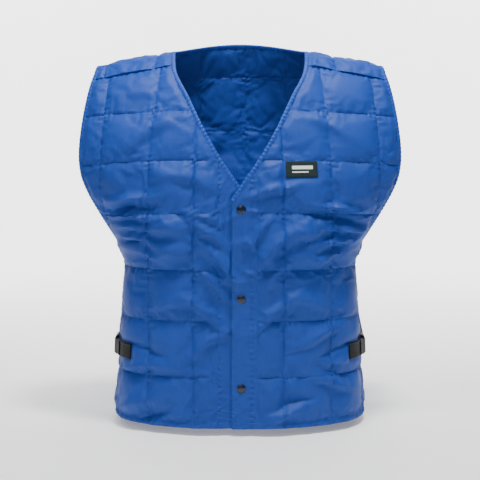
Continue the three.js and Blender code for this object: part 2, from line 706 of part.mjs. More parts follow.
// Puts a shape that stands along +Z on the cloth: its axis leaves the form at a place.
function placed(geometry, s, g, height) {
  const { across, normal } = chartFrame(s, g);
  const up = new THREE.Vector3().crossVectors(normal, across).normalize();
  const level = new THREE.Vector3().crossVectors(up, normal);
  const frame = new THREE.Matrix4().makeBasis(level, up, normal);
  frame.setPosition(onForm(s, g).addScaledVector(normal, height));
  return geometry.applyMatrix4(frame);
}

const CAP_PROFILE = [
  { radius: 0.0, height: 0.0 },
  { radius: 0.94, height: 0.0 },
  { radius: 1.0, height: 0.35 },
  { radius: 0.93, height: 0.78 },
  { radius: 0.8, height: 0.86 },
  { radius: 0.74, height: 0.72 },
  { radius: 0.42, height: 0.94 },
  { radius: 0.0, height: 1.0 },
];
const STUD_PROFILE = [
  { radius: 0.0, height: 0.0 },
  { radius: 0.8, height: 0.0 },
  { radius: 0.8, height: 0.3 },
  { radius: 0.5, height: 0.42 },
  { radius: 0.54, height: 1.0 },
  { radius: 0.0, height: 1.0 },
];
const scaled = (profile, radius, height) =>
  profile.map((row) => ({ radius: row.radius * radius, height: row.height * height }));
const studRoom = LAP_DEPTH - PLACKET_WALL - 2 * REST_GAP;
const firstSnap = -CORNER_DOWN * LENGTH - SNAP_TOP;
for (let i = 0; i < SNAP_COUNT; i += 1) {
  const z = lerp(firstSnap, HEM + SNAP_BOTTOM, SNAP_COUNT > 1 ? i / (SNAP_COUNT - 1) : 0);
  const g = levelAt(z, SNAP_OFFSET, false);
  const cap = turned(scaled(CAP_PROFILE, SNAP_RADIUS, SNAP_RISE), 16);
  const stud = turned(scaled(STUD_PROFILE, SNAP_RADIUS, studRoom), 12);
  add(`snap_cap_${i + 1}`, placed(cap, SNAP_OFFSET, g, PLACKET_WALL / 2 + REST_GAP), snapMetal);
  add(`snap_stud_${i + 1}`, placed(stud, SNAP_OFFSET, g, REST_GAP + PLACKET_WALL / 2 - LAP_DEPTH), snapMetal);
}

// The level on the front at which the cloth at s reaches a height.
function frontLevel(s, z) {
  let [low, high] = [0, 2];
  for (let i = 0; i < 30; i++) {
    const middle = (low + high) / 2;
    if (onForm(s, middle).z < z) low = middle;
    else high = middle;
  }
  return (low + high) / 2;
}

// The label: a small level plate of woven cloth that follows the front over its padding.
const PADDED = SEAM_WALL / 2 + PUFF_OUT; // the form out to the cloth in the middle of a cell
function label() {
  const sheet = new Sheet();
  const under = -FRONT_ROWS[4] * LENGTH - LABEL_BELOW_ROW;
  let before = null;
  for (const t of [0, 1 / 3, 2 / 3, 1]) {
    const row = [0, 0.2, 0.4, 0.6, 0.8, 1].map((u) => {
      const s = LABEL_START + LABEL_WIDTH * u;
      const g = frontLevel(s, under - LABEL_HEIGHT * (1 - t));
      const base = PADDED + REST_GAP + foldRise("left", s, g);
      return [s, sheet.point(s, g, base + LABEL_WALL, base)];
    });
    if (before) sheet.strip(before, row);
    before = row;
  }
  return sheet.geometry();
}
add("label_patch", label(), labelCloth);

// A point beside the side seam: reach goes from it to the front (less than 0) or to the back.
function besideSeam(side, reach, z, height) {
  const g = levelAt(z, HALF_WIDTH, reach > 0);
  const s = side * (chartRow(g).side - Math.abs(reach));
  const { normal } = chartFrame(s, g);
  return onForm(s, g).addScaledVector(normal, height);
}

// The flat frame of a side's buckle, whose origin lies on the side seam.
function seamFrame(side) {
  const above = besideSeam(side, 0, BUCKLE_HEIGHT - STRAP_DOWN, 0);
  const below = besideSeam(side, 0, -BUCKLE_HEIGHT - STRAP_DOWN, 0);
  const up = above.clone().sub(below).normalize();
  const back = new THREE.Vector3(0, 1, 0);
  const out = new THREE.Vector3(0, side, 0).cross(up);
  return { seat: above.add(below).multiplyScalar(0.5), up, back, out };
}

// A strap of webbing, from a path of reach, height above the form and rise of its middle.
function strap(side, path) {
  const sheet = new Sheet();
  const { seat, up, back, out } = seamFrame(side);
  path.forEach(({ reach, height, rise = 0, flat = false }, i) => {
    const a = path[Math.max(i - 1, 0)];
    const b = path[Math.min(i + 1, path.length - 1)];
    const run = Math.hypot(b.reach - a.reach, b.height - a.height);
    const tilt = { reach: (a.height - b.height) / run, height: (b.reach - a.reach) / run };
    const skin = (sign, lane) => {
      const along = reach + (sign * tilt.reach * WEB_WALL) / 2;
      const off = height + (sign * tilt.height * WEB_WALL) / 2;
      const high = rise + (lane * WEB_WIDTH) / 2;
      if (!flat) return besideSeam(side, along, high - STRAP_DOWN, off);
      return seat.clone().addScaledVector(back, along).addScaledVector(up, high).addScaledVector(out, off);
    };
    for (const lane of [-1, 0, 1]) {
      sheet.outer.push(skin(1, lane));
      sheet.inner.push(skin(-1, lane));
    }
    for (const lane of i ? [0, 1] : []) {
      const low = 3 * i + lane;
      const [p, q, r, s] = [low - 3, low, low + 1, low - 2];
      if (side > 0) sheet.faces.push([p, q, r], [p, r, s]);
      else sheet.faces.push([p, r, q], [p, s, r]);
    }
  });
  return sheet.geometry();
}

const WEB_LOW = PADDED + REST_GAP + WEB_WALL / 2; // middle of webbing that lies on the cloth
const BAR_LOW = WEB_LOW + WEB_WALL / 2 + REST_GAP;
const WEB_HIGH = BAR_LOW + BAR + REST_GAP + WEB_WALL / 2; // middle of webbing over a bar
const HALF_BUCKLE = BUCKLE_LENGTH / 2;
const FRONT_BAR = -HALF_BUCKLE + BAR; // inner face of the buckle's front bar
const MIDDLE_BAR = 1.5; // front face of its middle bar
const TURN = REST_GAP + WEB_WALL / 2 + 0.2; // webbing's middle to the face of the bar that it turns round

// Webbing that lies on the cloth, from its sewn end to the buckle.
function sewnRun(reach) {
  const end = Math.sign(reach) * (HALF_BUCKLE + 6);
  return [0, 0.15, 0.3, 0.45, 0.6, 0.8, 1].map((t) => ({ reach: lerp(reach, end, t), height: WEB_LOW }));
}

// Webbing that turns round a bar from below, in the buckle's flat frame. Way is the side of the
// bar on which it turns.
function roundBar(face, way) {
  return [
    { reach: face - way * 0.4, height: WEB_LOW },
    { reach: face + way * (TURN - 0.2), height: WEB_LOW + 0.9 },
    { reach: face + way * TURN, height: (WEB_LOW + WEB_HIGH) / 2 },
    { reach: face + way * (TURN - 0.2), height: WEB_HIGH - 0.9 },
    { reach: face - way * 0.4, height: WEB_HIGH },
  ].map((station) => ({ ...station, flat: true }));
}

const frontPath = [
  ...sewnRun(-STRAP_FRONT_REACH),
  ...roundBar(FRONT_BAR, 1),
  { reach: -HALF_BUCKLE - 1, height: WEB_HIGH, flat: true },
  { reach: -HALF_BUCKLE - 7, height: WEB_HIGH - 1 },
  { reach: -HALF_BUCKLE - 13, height: WEB_LOW + 2.4 },
  { reach: -HALF_BUCKLE - 24, height: WEB_LOW + WEB_WALL + REST_GAP },
];

function backPath(name) {
  const tail = [0, 0.25, 0.5, 0.75, 1].map((t) => ({
    reach: lerp(HALF_BUCKLE, TAIL, t),
    height: WEB_HIGH - TAIL_DROP[name] * t * t,
    rise: TAIL_RISE[name] * t * t,
    flat: true,
  }));
  return [...sewnRun(STRAP_BACK_REACH), ...roundBar(MIDDLE_BAR, -1), ...tail];
}

// The ladder buckle: a flat frame with a bar at each end and one between, on the side seam.
function buckle(side) {
  const corner = 2.5;
  const high = BUCKLE_HEIGHT / 2;
  const chamfered = [
    [-HALF_BUCKLE + corner, -high],
    [HALF_BUCKLE - corner, -high],
    [HALF_BUCKLE, -high + corner],
    [HALF_BUCKLE, high - corner],
    [HALF_BUCKLE - corner, high],
    [-HALF_BUCKLE + corner, high],
    [-HALF_BUCKLE, high - corner],
    [-HALF_BUCKLE, -high + corner],
  ];
  const reach = WEB_WIDTH / 2 + REST_GAP;
  const slots = [[FRONT_BAR, MIDDLE_BAR], [MIDDLE_BAR + BAR, HALF_BUCKLE - BAR]].map(([from, to]) =>
    wasm.CrossSection.square([to - from, 2 * reach]).translate([from, -reach]),
  );
  const flat = slots.reduce((rest, slot) => rest.subtract(slot), new wasm.CrossSection([chamfered]));
  const mesh = flat.extrude(BAR).getMesh();
  const points = Array.from({ length: mesh.vertProperties.length / mesh.numProp }, (_, i) =>
    new THREE.Vector3().fromArray(mesh.vertProperties, i * mesh.numProp),
  );
  const { seat, up, back, out } = seamFrame(side);
  const stand = new THREE.Matrix4().makeBasis(back.clone().multiplyScalar(side), up, out);
  stand.setPosition(seat.clone().addScaledVector(out, BAR_LOW));
  const shape = new THREE.BufferGeometry().setFromPoints(points).setIndex([...mesh.triVerts]);
  if (side < 0) shape.applyMatrix4(new THREE.Matrix4().makeRotationY(Math.PI)).translate(0, 0, BAR);
  return shape.applyMatrix4(stand);
}

for (const [name, side] of [["left", 1], ["right", -1]]) {
  add(`strap_front_${name}`, strap(side, frontPath), webbing);
  add(`buckle_${name}`, buckle(side), plastic);
  add(`strap_back_${name}`, strap(side, backPath(name)), webbing);
}

export default vest;
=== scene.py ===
# A quilted cooling vest as it is worn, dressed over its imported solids.

import math
from collections import namedtuple

import bmesh
import bpy
import numpy as np
from bpy.props import FloatProperty, FloatVectorProperty, PointerProperty
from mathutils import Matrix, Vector
from mathutils.bvhtree import BVHTree


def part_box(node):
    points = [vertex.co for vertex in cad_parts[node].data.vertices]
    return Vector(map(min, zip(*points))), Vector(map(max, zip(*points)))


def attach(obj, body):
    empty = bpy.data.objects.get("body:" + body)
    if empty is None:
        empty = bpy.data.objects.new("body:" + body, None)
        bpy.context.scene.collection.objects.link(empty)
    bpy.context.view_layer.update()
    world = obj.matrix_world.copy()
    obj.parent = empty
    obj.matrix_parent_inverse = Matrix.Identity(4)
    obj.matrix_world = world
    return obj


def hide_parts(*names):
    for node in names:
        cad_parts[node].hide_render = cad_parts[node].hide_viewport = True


bl_info = {
    "name": "Quilted vest",
    "version": (1, 0, 0),
    "blender": (4, 5, 0),
    "location": "3D View > Sidebar > Vest",
    "description": "Sews a quilted vest with bound edges, a snap front and cinch straps",
    "category": "Add Mesh",
}

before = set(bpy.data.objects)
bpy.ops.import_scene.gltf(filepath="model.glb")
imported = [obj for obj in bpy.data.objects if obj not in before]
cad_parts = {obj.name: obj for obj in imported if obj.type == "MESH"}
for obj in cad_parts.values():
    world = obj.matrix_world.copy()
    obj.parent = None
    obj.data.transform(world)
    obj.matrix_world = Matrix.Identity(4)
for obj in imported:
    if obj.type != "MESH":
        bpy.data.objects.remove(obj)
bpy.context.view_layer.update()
MM = 0.001

# The form's sections, from the shoulders down, as shares of its length, half width and depths.
Section = namedtuple("Section", "down half front back")
SECTIONS = (
    Section(0.04, 0.9, 0.93, 0.96),
    Section(0.1, 0.945, 0.94, 0.98),
    Section(0.18, 0.982, 0.96, 1.0),
    Section(0.255, 1.0, 0.98, 1.0),
    Section(0.31, 0.988, 0.99, 0.98),
    Section(0.36, 0.946, 1.0, 0.97),
    Section(0.43, 0.862, 1.0, 0.94),
    Section(0.5, 0.782, 0.98, 0.9),
    Section(0.565, 0.733, 0.95, 0.86),
    Section(0.66, 0.741, 0.93, 0.82),
    Section(0.75, 0.758, 0.94, 0.84),
    Section(0.88, 0.772, 0.97, 0.9),
    Section(1.0, 0.798, 1.0, 0.95),
)
ROUNDNESS = 2.3
ARCH_DOWN = 0.565
ArchShape = namedtuple("ArchShape", "rise spread")
FRONT_ARCH = ArchShape(2.2, 1.9)
BACK_ARCH = ArchShape(2.6, 2.2)
SAG_PEAK = 0.37
SAG_REACH = 0.36
UNDERARM_DOWN = 0.494
ARMHOLE_OPEN = 0.5

# The neck opening on the front, from the shoulder down to the placket's upper corner.
NeckPoint = namedtuple("NeckPoint", "down half")
NECKLINE = (
    NeckPoint(0.0, 0.407),
    NeckPoint(0.056, 0.388),
    NeckPoint(0.113, 0.317),
    NeckPoint(0.209, 0.207),
    NeckPoint(0.278, 0.114),
    NeckPoint(0.344, 0.008),
    NeckPoint(0.387, -0.058),
)
BACK_NECK_SHAPE = 1.12
SHOULDER_SEAM_AT = 0.66

# Quilting rows as shares of the length, and lines as shares of the half width along the cloth.
FRONT_ROWS = (0.862, 0.712, 0.575, 0.422, 0.283, 0.155)
BACK_ROWS = (0.069, 0.224, 0.379, 0.534, 0.69, 0.845)
RIGHT_LINES = (0.29, 0.585, 0.915, 1.23)
LEFT_LINES = (0.271, 0.585, 0.915, 1.23)
BACK_LINES = (-1.282, -0.953, -0.624, -0.295, 0.035, 0.364, 0.694, 1.023, 1.35)

# Folds and dents: where each lies, its length and breadth as shares of the vest's length, its
# height in mm before it is lifted, and its slant in degrees.
Fold = namedtuple("Fold", "across down length breadth height slant")
FOLDS = {
    "front": (
        Fold(0.2, 0.36, 0.06, 0.012, 2.6, 12),
        Fold(0.19, 0.52, 0.07, 0.017, 3.4, 50),
        Fold(0.12, 0.47, 0.05, 0.011, 2.2, 58),
        Fold(0.24, 0.575, 0.05, 0.014, 2.0, 44),
        Fold(0.03, 0.5, 0.03, 0.01, 1.4, 8),
        Fold(0.36, 0.475, 0.045, 0.022, 3.4, 12),
        Fold(0.4, 0.54, 0.045, 0.02, 2.8, -6),
        Fold(0.62, 0.41, 0.07, 0.008, 2.6, -9),
        Fold(0.6, 0.436, 0.07, 0.009, -2.0, -12),
        Fold(0.64, 0.465, 0.06, 0.009, 2.6, -6),
        Fold(0.58, 0.5, 0.06, 0.011, 2.4, 8),
        Fold(0.55, 0.535, 0.05, 0.011, 2.0, 14),
        Fold(0.3, 0.3, 0.07, 0.02, 1.8, 24),
        Fold(0.55, 0.2, 0.09, 0.018, 1.6, -28),
        Fold(0.32, 0.93, 0.06, 0.02, -2.8, 18),
        Fold(0.27, 0.965, 0.05, 0.013, 2.6, 24),
        Fold(0.55, 0.88, 0.07, 0.014, 2.2, -22),
        Fold(0.66, 0.83, 0.06, 0.01, 2.0, -8),
        Fold(0.64, 0.79, 0.06, 0.01, -1.6, 14),
        Fold(0.2, 0.69, 0.07, 0.013, 2.2, 40),
        Fold(0.42, 0.66, 0.06, 0.016, 1.8, -20),
        Fold(0.5, 0.75, 0.06, 0.014, 1.8, 24),
        Fold(-0.12, 0.55, 0.07, 0.017, 3.6, -50),
        Fold(-0.18, 0.6, 0.06, 0.013, 2.6, -46),
        Fold(-0.17, 0.48, 0.06, 0.013, 2.6, -38),
        Fold(-0.22, 0.43, 0.05, 0.012, 1.8, -18),
        Fold(-0.45, 0.455, 0.045, 0.026, 3.6, -4),
        Fold(-0.42, 0.525, 0.05, 0.021, 3.0, 6),
        Fold(-0.66, 0.385, 0.06, 0.009, 2.4, 3),
        Fold(-0.66, 0.409, 0.06, 0.008, -2.0, 5),
        Fold(-0.66, 0.432, 0.06, 0.009, 2.6, -2),
        Fold(-0.64, 0.46, 0.06, 0.009, 2.2, -6),
        Fold(-0.62, 0.49, 0.07, 0.011, 2.4, -12),
        Fold(-0.58, 0.53, 0.06, 0.012, 2.0, -18),
        Fold(-0.32, 0.33, 0.08, 0.02, 1.8, -14),
        Fold(-0.52, 0.2, 0.1, 0.02, 1.6, 30),
        Fold(-0.62, 0.94, 0.06, 0.02, 2.6, 24),
        Fold(-0.52, 0.965, 0.05, 0.014, -2.2, 20),
        Fold(-0.6, 0.84, 0.07, 0.011, 2.0, 12),
        Fold(-0.62, 0.79, 0.06, 0.01, -1.6, -12),
        Fold(-0.2, 0.69, 0.07, 0.014, 2.4, -42),
        Fold(-0.2, 0.77, 0.08, 0.013, 1.8, 36),
        Fold(-0.4, 0.66, 0.06, 0.016, 1.8, 16),
    ),
    "back": (
        Fold(-0.3, 0.66, 0.1, 0.02, 2.6, 18),
        Fold(0.32, 0.7, 0.1, 0.02, 2.4, -16),
        Fold(-0.62, 0.45, 0.08, 0.014, 2.6, 12),
        Fold(0.62, 0.45, 0.08, 0.014, 2.6, -12),
        Fold(-0.64, 0.49, 0.08, 0.012, -2.2, 4),
        Fold(0.64, 0.49, 0.08, 0.012, -2.2, -4),
        Fold(0.0, 0.9, 0.1, 0.025, -2.2, 2),
        Fold(-0.58, 0.82, 0.09, 0.014, 2.2, -10),
        Fold(0.6, 0.82, 0.09, 0.014, 2.2, 10),
        Fold(0.1, 0.5, 0.1, 0.02, 1.8, 70),
        Fold(-0.15, 0.35, 0.1, 0.02, 1.8, 100),
    ),
}
FOLD_LIFT = 3.0

# Wear creases: how they slant, how far apart they lie in decimetres, and how strong they are.
Wear = namedtuple("Wear", "slant pitch size")
WEAR = (
    Wear(0.35, 0.44, 1.0),
    Wear(-0.6, 0.36, 0.9),
    Wear(1.15, 0.29, 0.8),
    Wear(-1.0, 0.24, 0.7),
    Wear(0.1, 0.19, 0.55),
)

# How far from an edge, a seam or the hem the padding, the folds and the puckers take to rise.
PADDING_REACH = 13 * MM
FOLD_REACH = 9 * MM
SIDE_FOLD_REACH = 26 * MM
PUCKER_REACH = 7 * MM
FLARE_TALL = 70 * MM
FLARE_WAVE = 130 * MM
FLARE_HEIGHT = 1.6 * MM
PLAIN_WIDTH = 46 * MM  # plain cloth beside the lower placket, before the quilting starts

# The label, from the centre plane along the cloth and from the neck points down, in mm.
LABEL_START = 74
LABEL_WIDTH = 53
LABEL_HEIGHT = 24
LABEL_TOP = -170.8


def length(name, value, text, low=0.0, high=3.0):
    """A length property in metres, from a value in millimetres."""
    return FloatProperty(
        name=name, description=text, default=value * MM, min=low, max=high, unit="LENGTH"
    )


def tint(name, value, text):
    """A colour property."""
    return FloatVectorProperty(
        name=name, description=text, default=value, size=3, min=0, max=1, subtype="COLOR"
    )


class VestForm(bpy.types.PropertyGroup):
    """Sizes of the worn form."""

    tall: length("Length", 593, "Neck point down to the hem")
    half_width: length("Half width", 258, "Centre plane to the widest point of an armhole")
    front_depth: length("Front depth", 128, "Shoulder line forward to the fullest part of the front")
    back_depth: length("Back depth", 122, "Shoulder line back to the fullest part of the back")
    neck_half: length("Neck half width", 105, "Centre plane to a neck point")
    shoulder_drop: length("Shoulder drop", 24, "Neck point down to the shoulder tip")
    neck_rise: length("Neck rise", 64, "How far the form would rise inside the neck")
    crest_back: length("Crest setback", 5, "How far behind the origin the shoulder's crest lies")
    neck_lean: length("Neck lean", 20, "How much further back the crest line runs behind the neck")
    side_sag: length("Side sag", 11, "How far the quilting rows fall towards the armholes")
    back_neck_rise: length("Back neck rise", 14, "Neck points up to the middle of the back neckline")
    shoulder_seam_down: length("Shoulder seam", 33, "Neck points down to the shoulder seam, on the front")


class VestCloth(bpy.types.PropertyGroup):
    """Sizes of the cloth, its quilting and its edges."""

    seam_wall: length("Seam wall", 2.2, "Both layers of cloth, pressed together at a seam")
    puff_out: length("Puff outwards", 3.6, "Padding's rise outwards in the middle of a cell")
    puff_in: length("Puff inwards", 1.4, "Padding's rise inwards")
    hem_turn: length("Hem turn", 9, "Height of the turned hem")
    binding_width: length("Binding width", 7, "Width of the bound edges")
    binding_wall: length("Binding wall", 4.2, "Thickness of the bound edges")
    binding_pitch: length("Binding gathers", 6.5, "Distance between two gathers of a binding")
    pucker: length("Pucker height", 1.3, "Height of the puckers along a seam")
    pucker_pitch: length("Pucker pitch", 9, "Distance between two puckers")
    crease: length("Creases", 3.4, "Height of the creases that the cloth keeps from wear")
    step: length("Mesh step", 3.3, "Size of the cloth's mesh before it is refined", low=0.002)
    placket_wall: length("Placket wall", 2.4, "Thickness of the plackets")
    overlap: length("Overlap", 13, "Centre line to the front edge of the upper placket")
    underlap: length("Underlap", 16, "Centre line to the hidden edge of the lower placket")
    placket_seam: length("Placket seam", 27, "Centre line to the seam of the upper placket")
    under_seam: length("Lower placket seam", 34, "Centre line to the seam of the lower placket")
    lap_depth: length("Lap depth", 5.6, "Upper placket's middle to the lower placket's middle")
    stitch: length("Stitch length", 2.6, "Length of one stitch")
    thread: length("Thread", 0.42, "Thickness of the thread")


class VestColours(bpy.types.PropertyGroup):
    """Colours of the cloth and the trim."""

    cloth: tint("Cloth", (0.007, 0.048, 0.29), "Colour of the quilted cloth")
    thread: tint("Thread", (0.022, 0.07, 0.3), "Colour of the stitches")
    snap: tint("Snaps", (0.004, 0.01, 0.03), "Colour of the snap fasteners")
    label: tint("Label", (0.003, 0.016, 0.016), "Ground colour of the label")
    label_mark: tint("Label mark", (0.75, 0.76, 0.74), "Colour of the label's bars")
    webbing: tint("Webbing", (0.0025, 0.0025, 0.003), "Colour of the straps")
    plastic: tint("Buckles", (0.003, 0.003, 0.0035), "Colour of the buckles")


class VestStage(bpy.types.PropertyGroup):
    """Camera, lights and floor."""

    distance: FloatProperty(
        name="Camera distance", description="Camera to the vest", default=2.2, unit="LENGTH"
    )
    elevation: FloatProperty(
        name="Camera elevation",
        description="Angle above the horizon",
        default=math.radians(7),
        subtype="ANGLE",
    )
    lens: FloatProperty(name="Lens", description="Focal length in millimetres", default=100)
    target: FloatProperty(
        name="Target height", description="Height the camera aims at", default=-0.302, unit="LENGTH"
    )
    key: FloatProperty(name="Key light", description="Power of the key light", default=44)
    fill: FloatProperty(name="Fill light", description="Power of the fill lights", default=7)
    wall: FloatProperty(
        name="Backdrop lights", description="Power of each light on the backdrop", default=150
    )
    floor: tint("Floor", (0.9, 0.9, 0.9), "Colour of the floor")


def smooth(t):
    """Rises smoothly from 0 to 1 as t does."""
    t = np.clip(t, 0, 1)
    return t * t * (3 - 2 * t)


def ripple(x, seed):
    """Smooth pseudo-random values between about -1 and 1, the same in each run."""
    total = np.sin(x * 1.0 + seed * 1.7) + 0.6 * np.sin(x * 2.13 + seed * 3.1)
    return (total + 0.4 * np.sin(x * 3.71 + seed * 5.3)) / 1.6


def through(table, column):
    """A smooth curve through two columns of a table, as a function of the first."""
    x = np.array([row.down for row in table])
    y = np.array([getattr(row, column) for row in table])
    before = np.maximum(np.arange(len(x)) - 1, 0)
    after = np.minimum(np.arange(len(x)) + 1, len(x) - 1)
    slope = (y[after] - y[before]) / (x[after] - x[before])

    def curve(at):
        place = np.clip(at, x[0], x[-1])
        i = np.clip(np.searchsorted(x, place) - 1, 0, len(x) - 2)
        span = x[i + 1] - x[i]
        t = (place - x[i]) / span
        rest = 1 - t
        ends = y[i] * rest * rest * (1 + 2 * t) + y[i + 1] * t * t * (3 - 2 * t)
        return ends + span * t * rest * (slope[i] * rest - slope[i + 1] * t)

    return curve


class Form:
    """The worn form as a chart: s runs along the cloth from the centre plane, g climbs the front
    from the hem (0) over the crest of the shoulders (2) and goes down the back to the hem (4)."""

    ROWS = 1601
    PLACES = 241

    def __init__(self, size):
        self.size = size
        self.hem = -size.tall
        self.arch = -size.tall * ARCH_DOWN
        self.tip_half = size.half_width * SECTIONS[0].half
        self.slope = size.shoulder_drop / (self.tip_half - size.neck_half)
        self.unit = self.arch - self.hem
        self.build()

    def crest_height(self, x):
        """Height of the shoulders' crest, with the rise of the back's neck between the neck points."""
        t = np.abs(x) / self.size.neck_half
        dome = np.clip(1 - t * t, 0, 1)
        inside = self.slope * self.size.neck_half * dome / 2 + self.size.neck_rise * dome**1.75
        return np.where(t >= 1, -self.slope * (np.abs(x) - self.size.neck_half), inside)

    def crest_depth(self, x):
        """Place of the crest from front to back."""
        dome = np.clip(1 - (x / self.size.neck_half) ** 2, 0, 1)
        return self.size.crest_back + self.size.neck_lean * dome * dome

    def build(self):
        """Fills the chart's table of points, and where each row meets the side and the armhole."""
        size = self.size
        g = np.linspace(0, 4, self.ROWS)
        back = g > 2
        level = np.where(back, 4 - g, g)
        turn = np.clip(level - 1, 0, 1) * math.pi / 2
        rise = np.sin(turn) ** (2 / np.where(back, BACK_ARCH.rise, FRONT_ARCH.rise))
        power = 2 / np.where(back, BACK_ARCH.spread, FRONT_ARCH.spread)
        spread = np.clip(np.cos(turn), 0, 1) ** power
        tip_height = float(self.crest_height(self.tip_half))
        arched = self.arch + (tip_height - self.arch) * rise
        z = np.where(level <= 1, self.hem + self.unit * level, arched)
        down = -z / size.tall
        armhole_tall = UNDERARM_DOWN * size.tall - size.shoulder_drop
        fall = np.clip((-size.shoulder_drop - z) / armhole_tall, 0, 1)
        opening = ARMHOLE_OPEN * np.sqrt(1 - fall**3)
        half = through(SECTIONS, "half")(down) * size.half_width
        half = half / (1 - opening**ROUNDNESS) ** (1 / ROUNDNESS)
        front = -size.front_depth * through(SECTIONS, "front")(down)
        depth = np.where(back, size.back_depth * through(SECTIONS, "back")(down), front)
        sag = size.side_sag * smooth(1 - np.abs(down - SAG_PEAK) / SAG_REACH)
        angle = np.linspace(0, math.pi / 2, self.PLACES)
        sideways = np.sin(angle) ** (2 / ROUNDNESS)
        across = np.clip(np.cos(angle), 0, 1) ** (2 / ROUNDNESS)
        x = half[:, None] * sideways
        y = self.crest_depth(x) * (1 - spread)[:, None] + (depth * spread)[:, None] * across
        arched = self.arch + (self.crest_height(x) - self.arch) * rise[:, None]
        height = np.where((level <= 1)[:, None], z[:, None], arched) - sag[:, None] * sideways**2.5
        points = np.stack([x, y, height], axis=2)
        steps = np.linalg.norm(np.diff(points, axis=1), axis=2)
        run = np.concatenate([np.zeros((self.ROWS, 1)), np.cumsum(steps, axis=1)], axis=1)
        self.side = run[:, -1]
        share = np.linspace(0, 1, self.PLACES)
        self.table = np.empty_like(points)
        for i in range(self.ROWS):
            for axis in range(3):
                self.table[i, :, axis] = np.interp(share * run[i, -1], run[i], points[i, :, axis])
        edge = np.arccos(np.clip(opening ** (ROUNDNESS / 2), 0, 1))
        self.edge = np.array([np.interp(edge[i], angle, run[i]) for i in range(self.ROWS)])

    def place(self, g):
        """The table's row below a level, and the part of the way to the next one."""
        at = np.clip(np.asarray(g, float) / 4 * (self.ROWS - 1), 0, self.ROWS - 1.000001)
        low = np.floor(at).astype(int)
        return low, at - low

    def side_at(self, g):
        """Distance along a row from the centre plane to the side."""
        low, part = self.place(g)
        return self.side[low] * (1 - part) + self.side[low + 1] * part

    def edge_at(self, g):
        """Distance along a row from the centre plane to the armhole."""
        low, part = self.place(g)
        return self.edge[low] * (1 - part) + self.edge[low + 1] * part

    def point(self, s, g):
        """Points of the form at places on the chart."""
        s = np.asarray(s, float)
        low, part = self.place(g)
        side = self.side[low] * (1 - part) + self.side[low + 1] * part
        at = np.clip(np.abs(s) / side, 0, 1) * (self.PLACES - 1)
        near = np.minimum(np.floor(at).astype(int), self.PLACES - 2)
        h = (at - near)[..., None]
        p = part[..., None]
        lower = self.table[low, near] * (1 - h) + self.table[low, near + 1] * h
        upper = self.table[low + 1, near] * (1 - h) + self.table[low + 1, near + 1] * h
        out = lower * (1 - p) + upper * p
        out[..., 0] *= np.where(s < 0, -1, 1)
        return out

    def directions(self, s, g):
        """The chart's two directions and the outward normal, per metre of s and per unit of g."""
        s = np.asarray(s, float)
        g = np.asarray(g, float)
        limit = self.side_at(g)
        middle = np.clip(s, 2 * MM - limit, limit - 2 * MM)
        across = (self.point(middle + 2 * MM, g) - self.point(middle - 2 * MM, g)) / (4 * MM)
        g0 = np.clip(g - 0.012, 0, 4)
        g1 = np.clip(g + 0.012, 0, 4)
        share = np.clip(s / limit, -1, 1)
        edge = np.abs(share) > 0.97
        s0 = np.where(edge, share * self.side_at(g0), s)
        s1 = np.where(edge, share * self.side_at(g1), s)
        along = (self.point(s1, g1) - self.point(s0, g0)) / (g1 - g0)[..., None]
        normal = np.cross(across, along)
        normal /= np.linalg.norm(normal, axis=-1, keepdims=True)
        return across, along, normal

    def level_at(self, z, x, back):
        """The level of the chart at a height, on the front or the back."""
        shape = BACK_ARCH if back else FRONT_ARCH
        rise = np.clip((z - self.arch) / (self.crest_height(x) - self.arch), 0, 1)
        arched = 1 + np.arcsin(np.clip(rise ** (shape.rise / 2), 0, 1)) / (math.pi / 2)
        level = np.where(z > self.arch, arched, (z - self.hem) / self.unit)
        return 4 - level if back else level

    def along_to(self, g, half):
        """Distance along a row at which the cloth reaches a half width."""
        low, part = self.place(g)
        share = np.linspace(0, 1, self.PLACES)
        x = self.table[low, :, 0] * (1 - part) + self.table[low + 1, :, 0] * part
        return math.copysign(float(np.interp(abs(half), x, share * self.side_at(g))), half)


class Edge:
    """A line on the chart, such as a neckline."""

    def __init__(self, s, g):
        self.s = np.array(s, float)
        self.g = np.array(g, float)

    def moved(self, form, distance):
        """The line, moved in the cloth square to itself."""
        across, along, normal = form.directions(self.s, self.g)
        order = np.arange(len(self.s))
        before = np.maximum(order - 1, 0)
        after = np.minimum(order + 1, len(order) - 1)
        ds = (self.s[after] - self.s[before])[:, None]
        dg = (self.g[after] - self.g[before])[:, None]
        tangent = across * ds + along * dg
        tangent /= np.linalg.norm(tangent, axis=1, keepdims=True)
        aim = np.cross(normal, tangent) * distance
        aa = (across * across).sum(1)
        ab = (across * along).sum(1)
        bb = (along * along).sum(1)
        pa = (aim * across).sum(1)
        pb = (aim * along).sum(1)
        area = aa * bb - ab * ab
        return Edge(self.s + (pa * bb - pb * ab) / area, self.g + (pb * aa - pa * ab) / area)

    def part(self, start, end):
        """A stretch of the line, between two of its places."""
        return Edge(self.s[start:end], self.g[start:end])

    def mirrored(self):
        """The same line on the other side of the centre plane."""
        return Edge(-self.s, self.g)

    def at_level(self, g):
        """Distance from the centre plane to the line, at each level."""
        order = np.argsort(self.g, kind="stable")
        return np.interp(g, self.g[order], self.s[order])

    def spaced(self, form, step):
        """Numbers of places that lie evenly spaced along the line, as fractions."""
        points = form.point(self.s, self.g)
        run = np.concatenate([[0], np.cumsum(np.linalg.norm(np.diff(points, axis=0), axis=1))])
        count = max(4, int(round(run[-1] / step)))
        return np.interp(np.linspace(0, run[-1], count + 1), run, np.arange(len(run))), run[-1]

    def sample(self, at):
        """The line's places on the chart at fractional numbers."""
        order = np.arange(len(self.s))
        return np.interp(at, order, self.s), np.interp(at, order, self.g)


EDGE_STEPS = 240


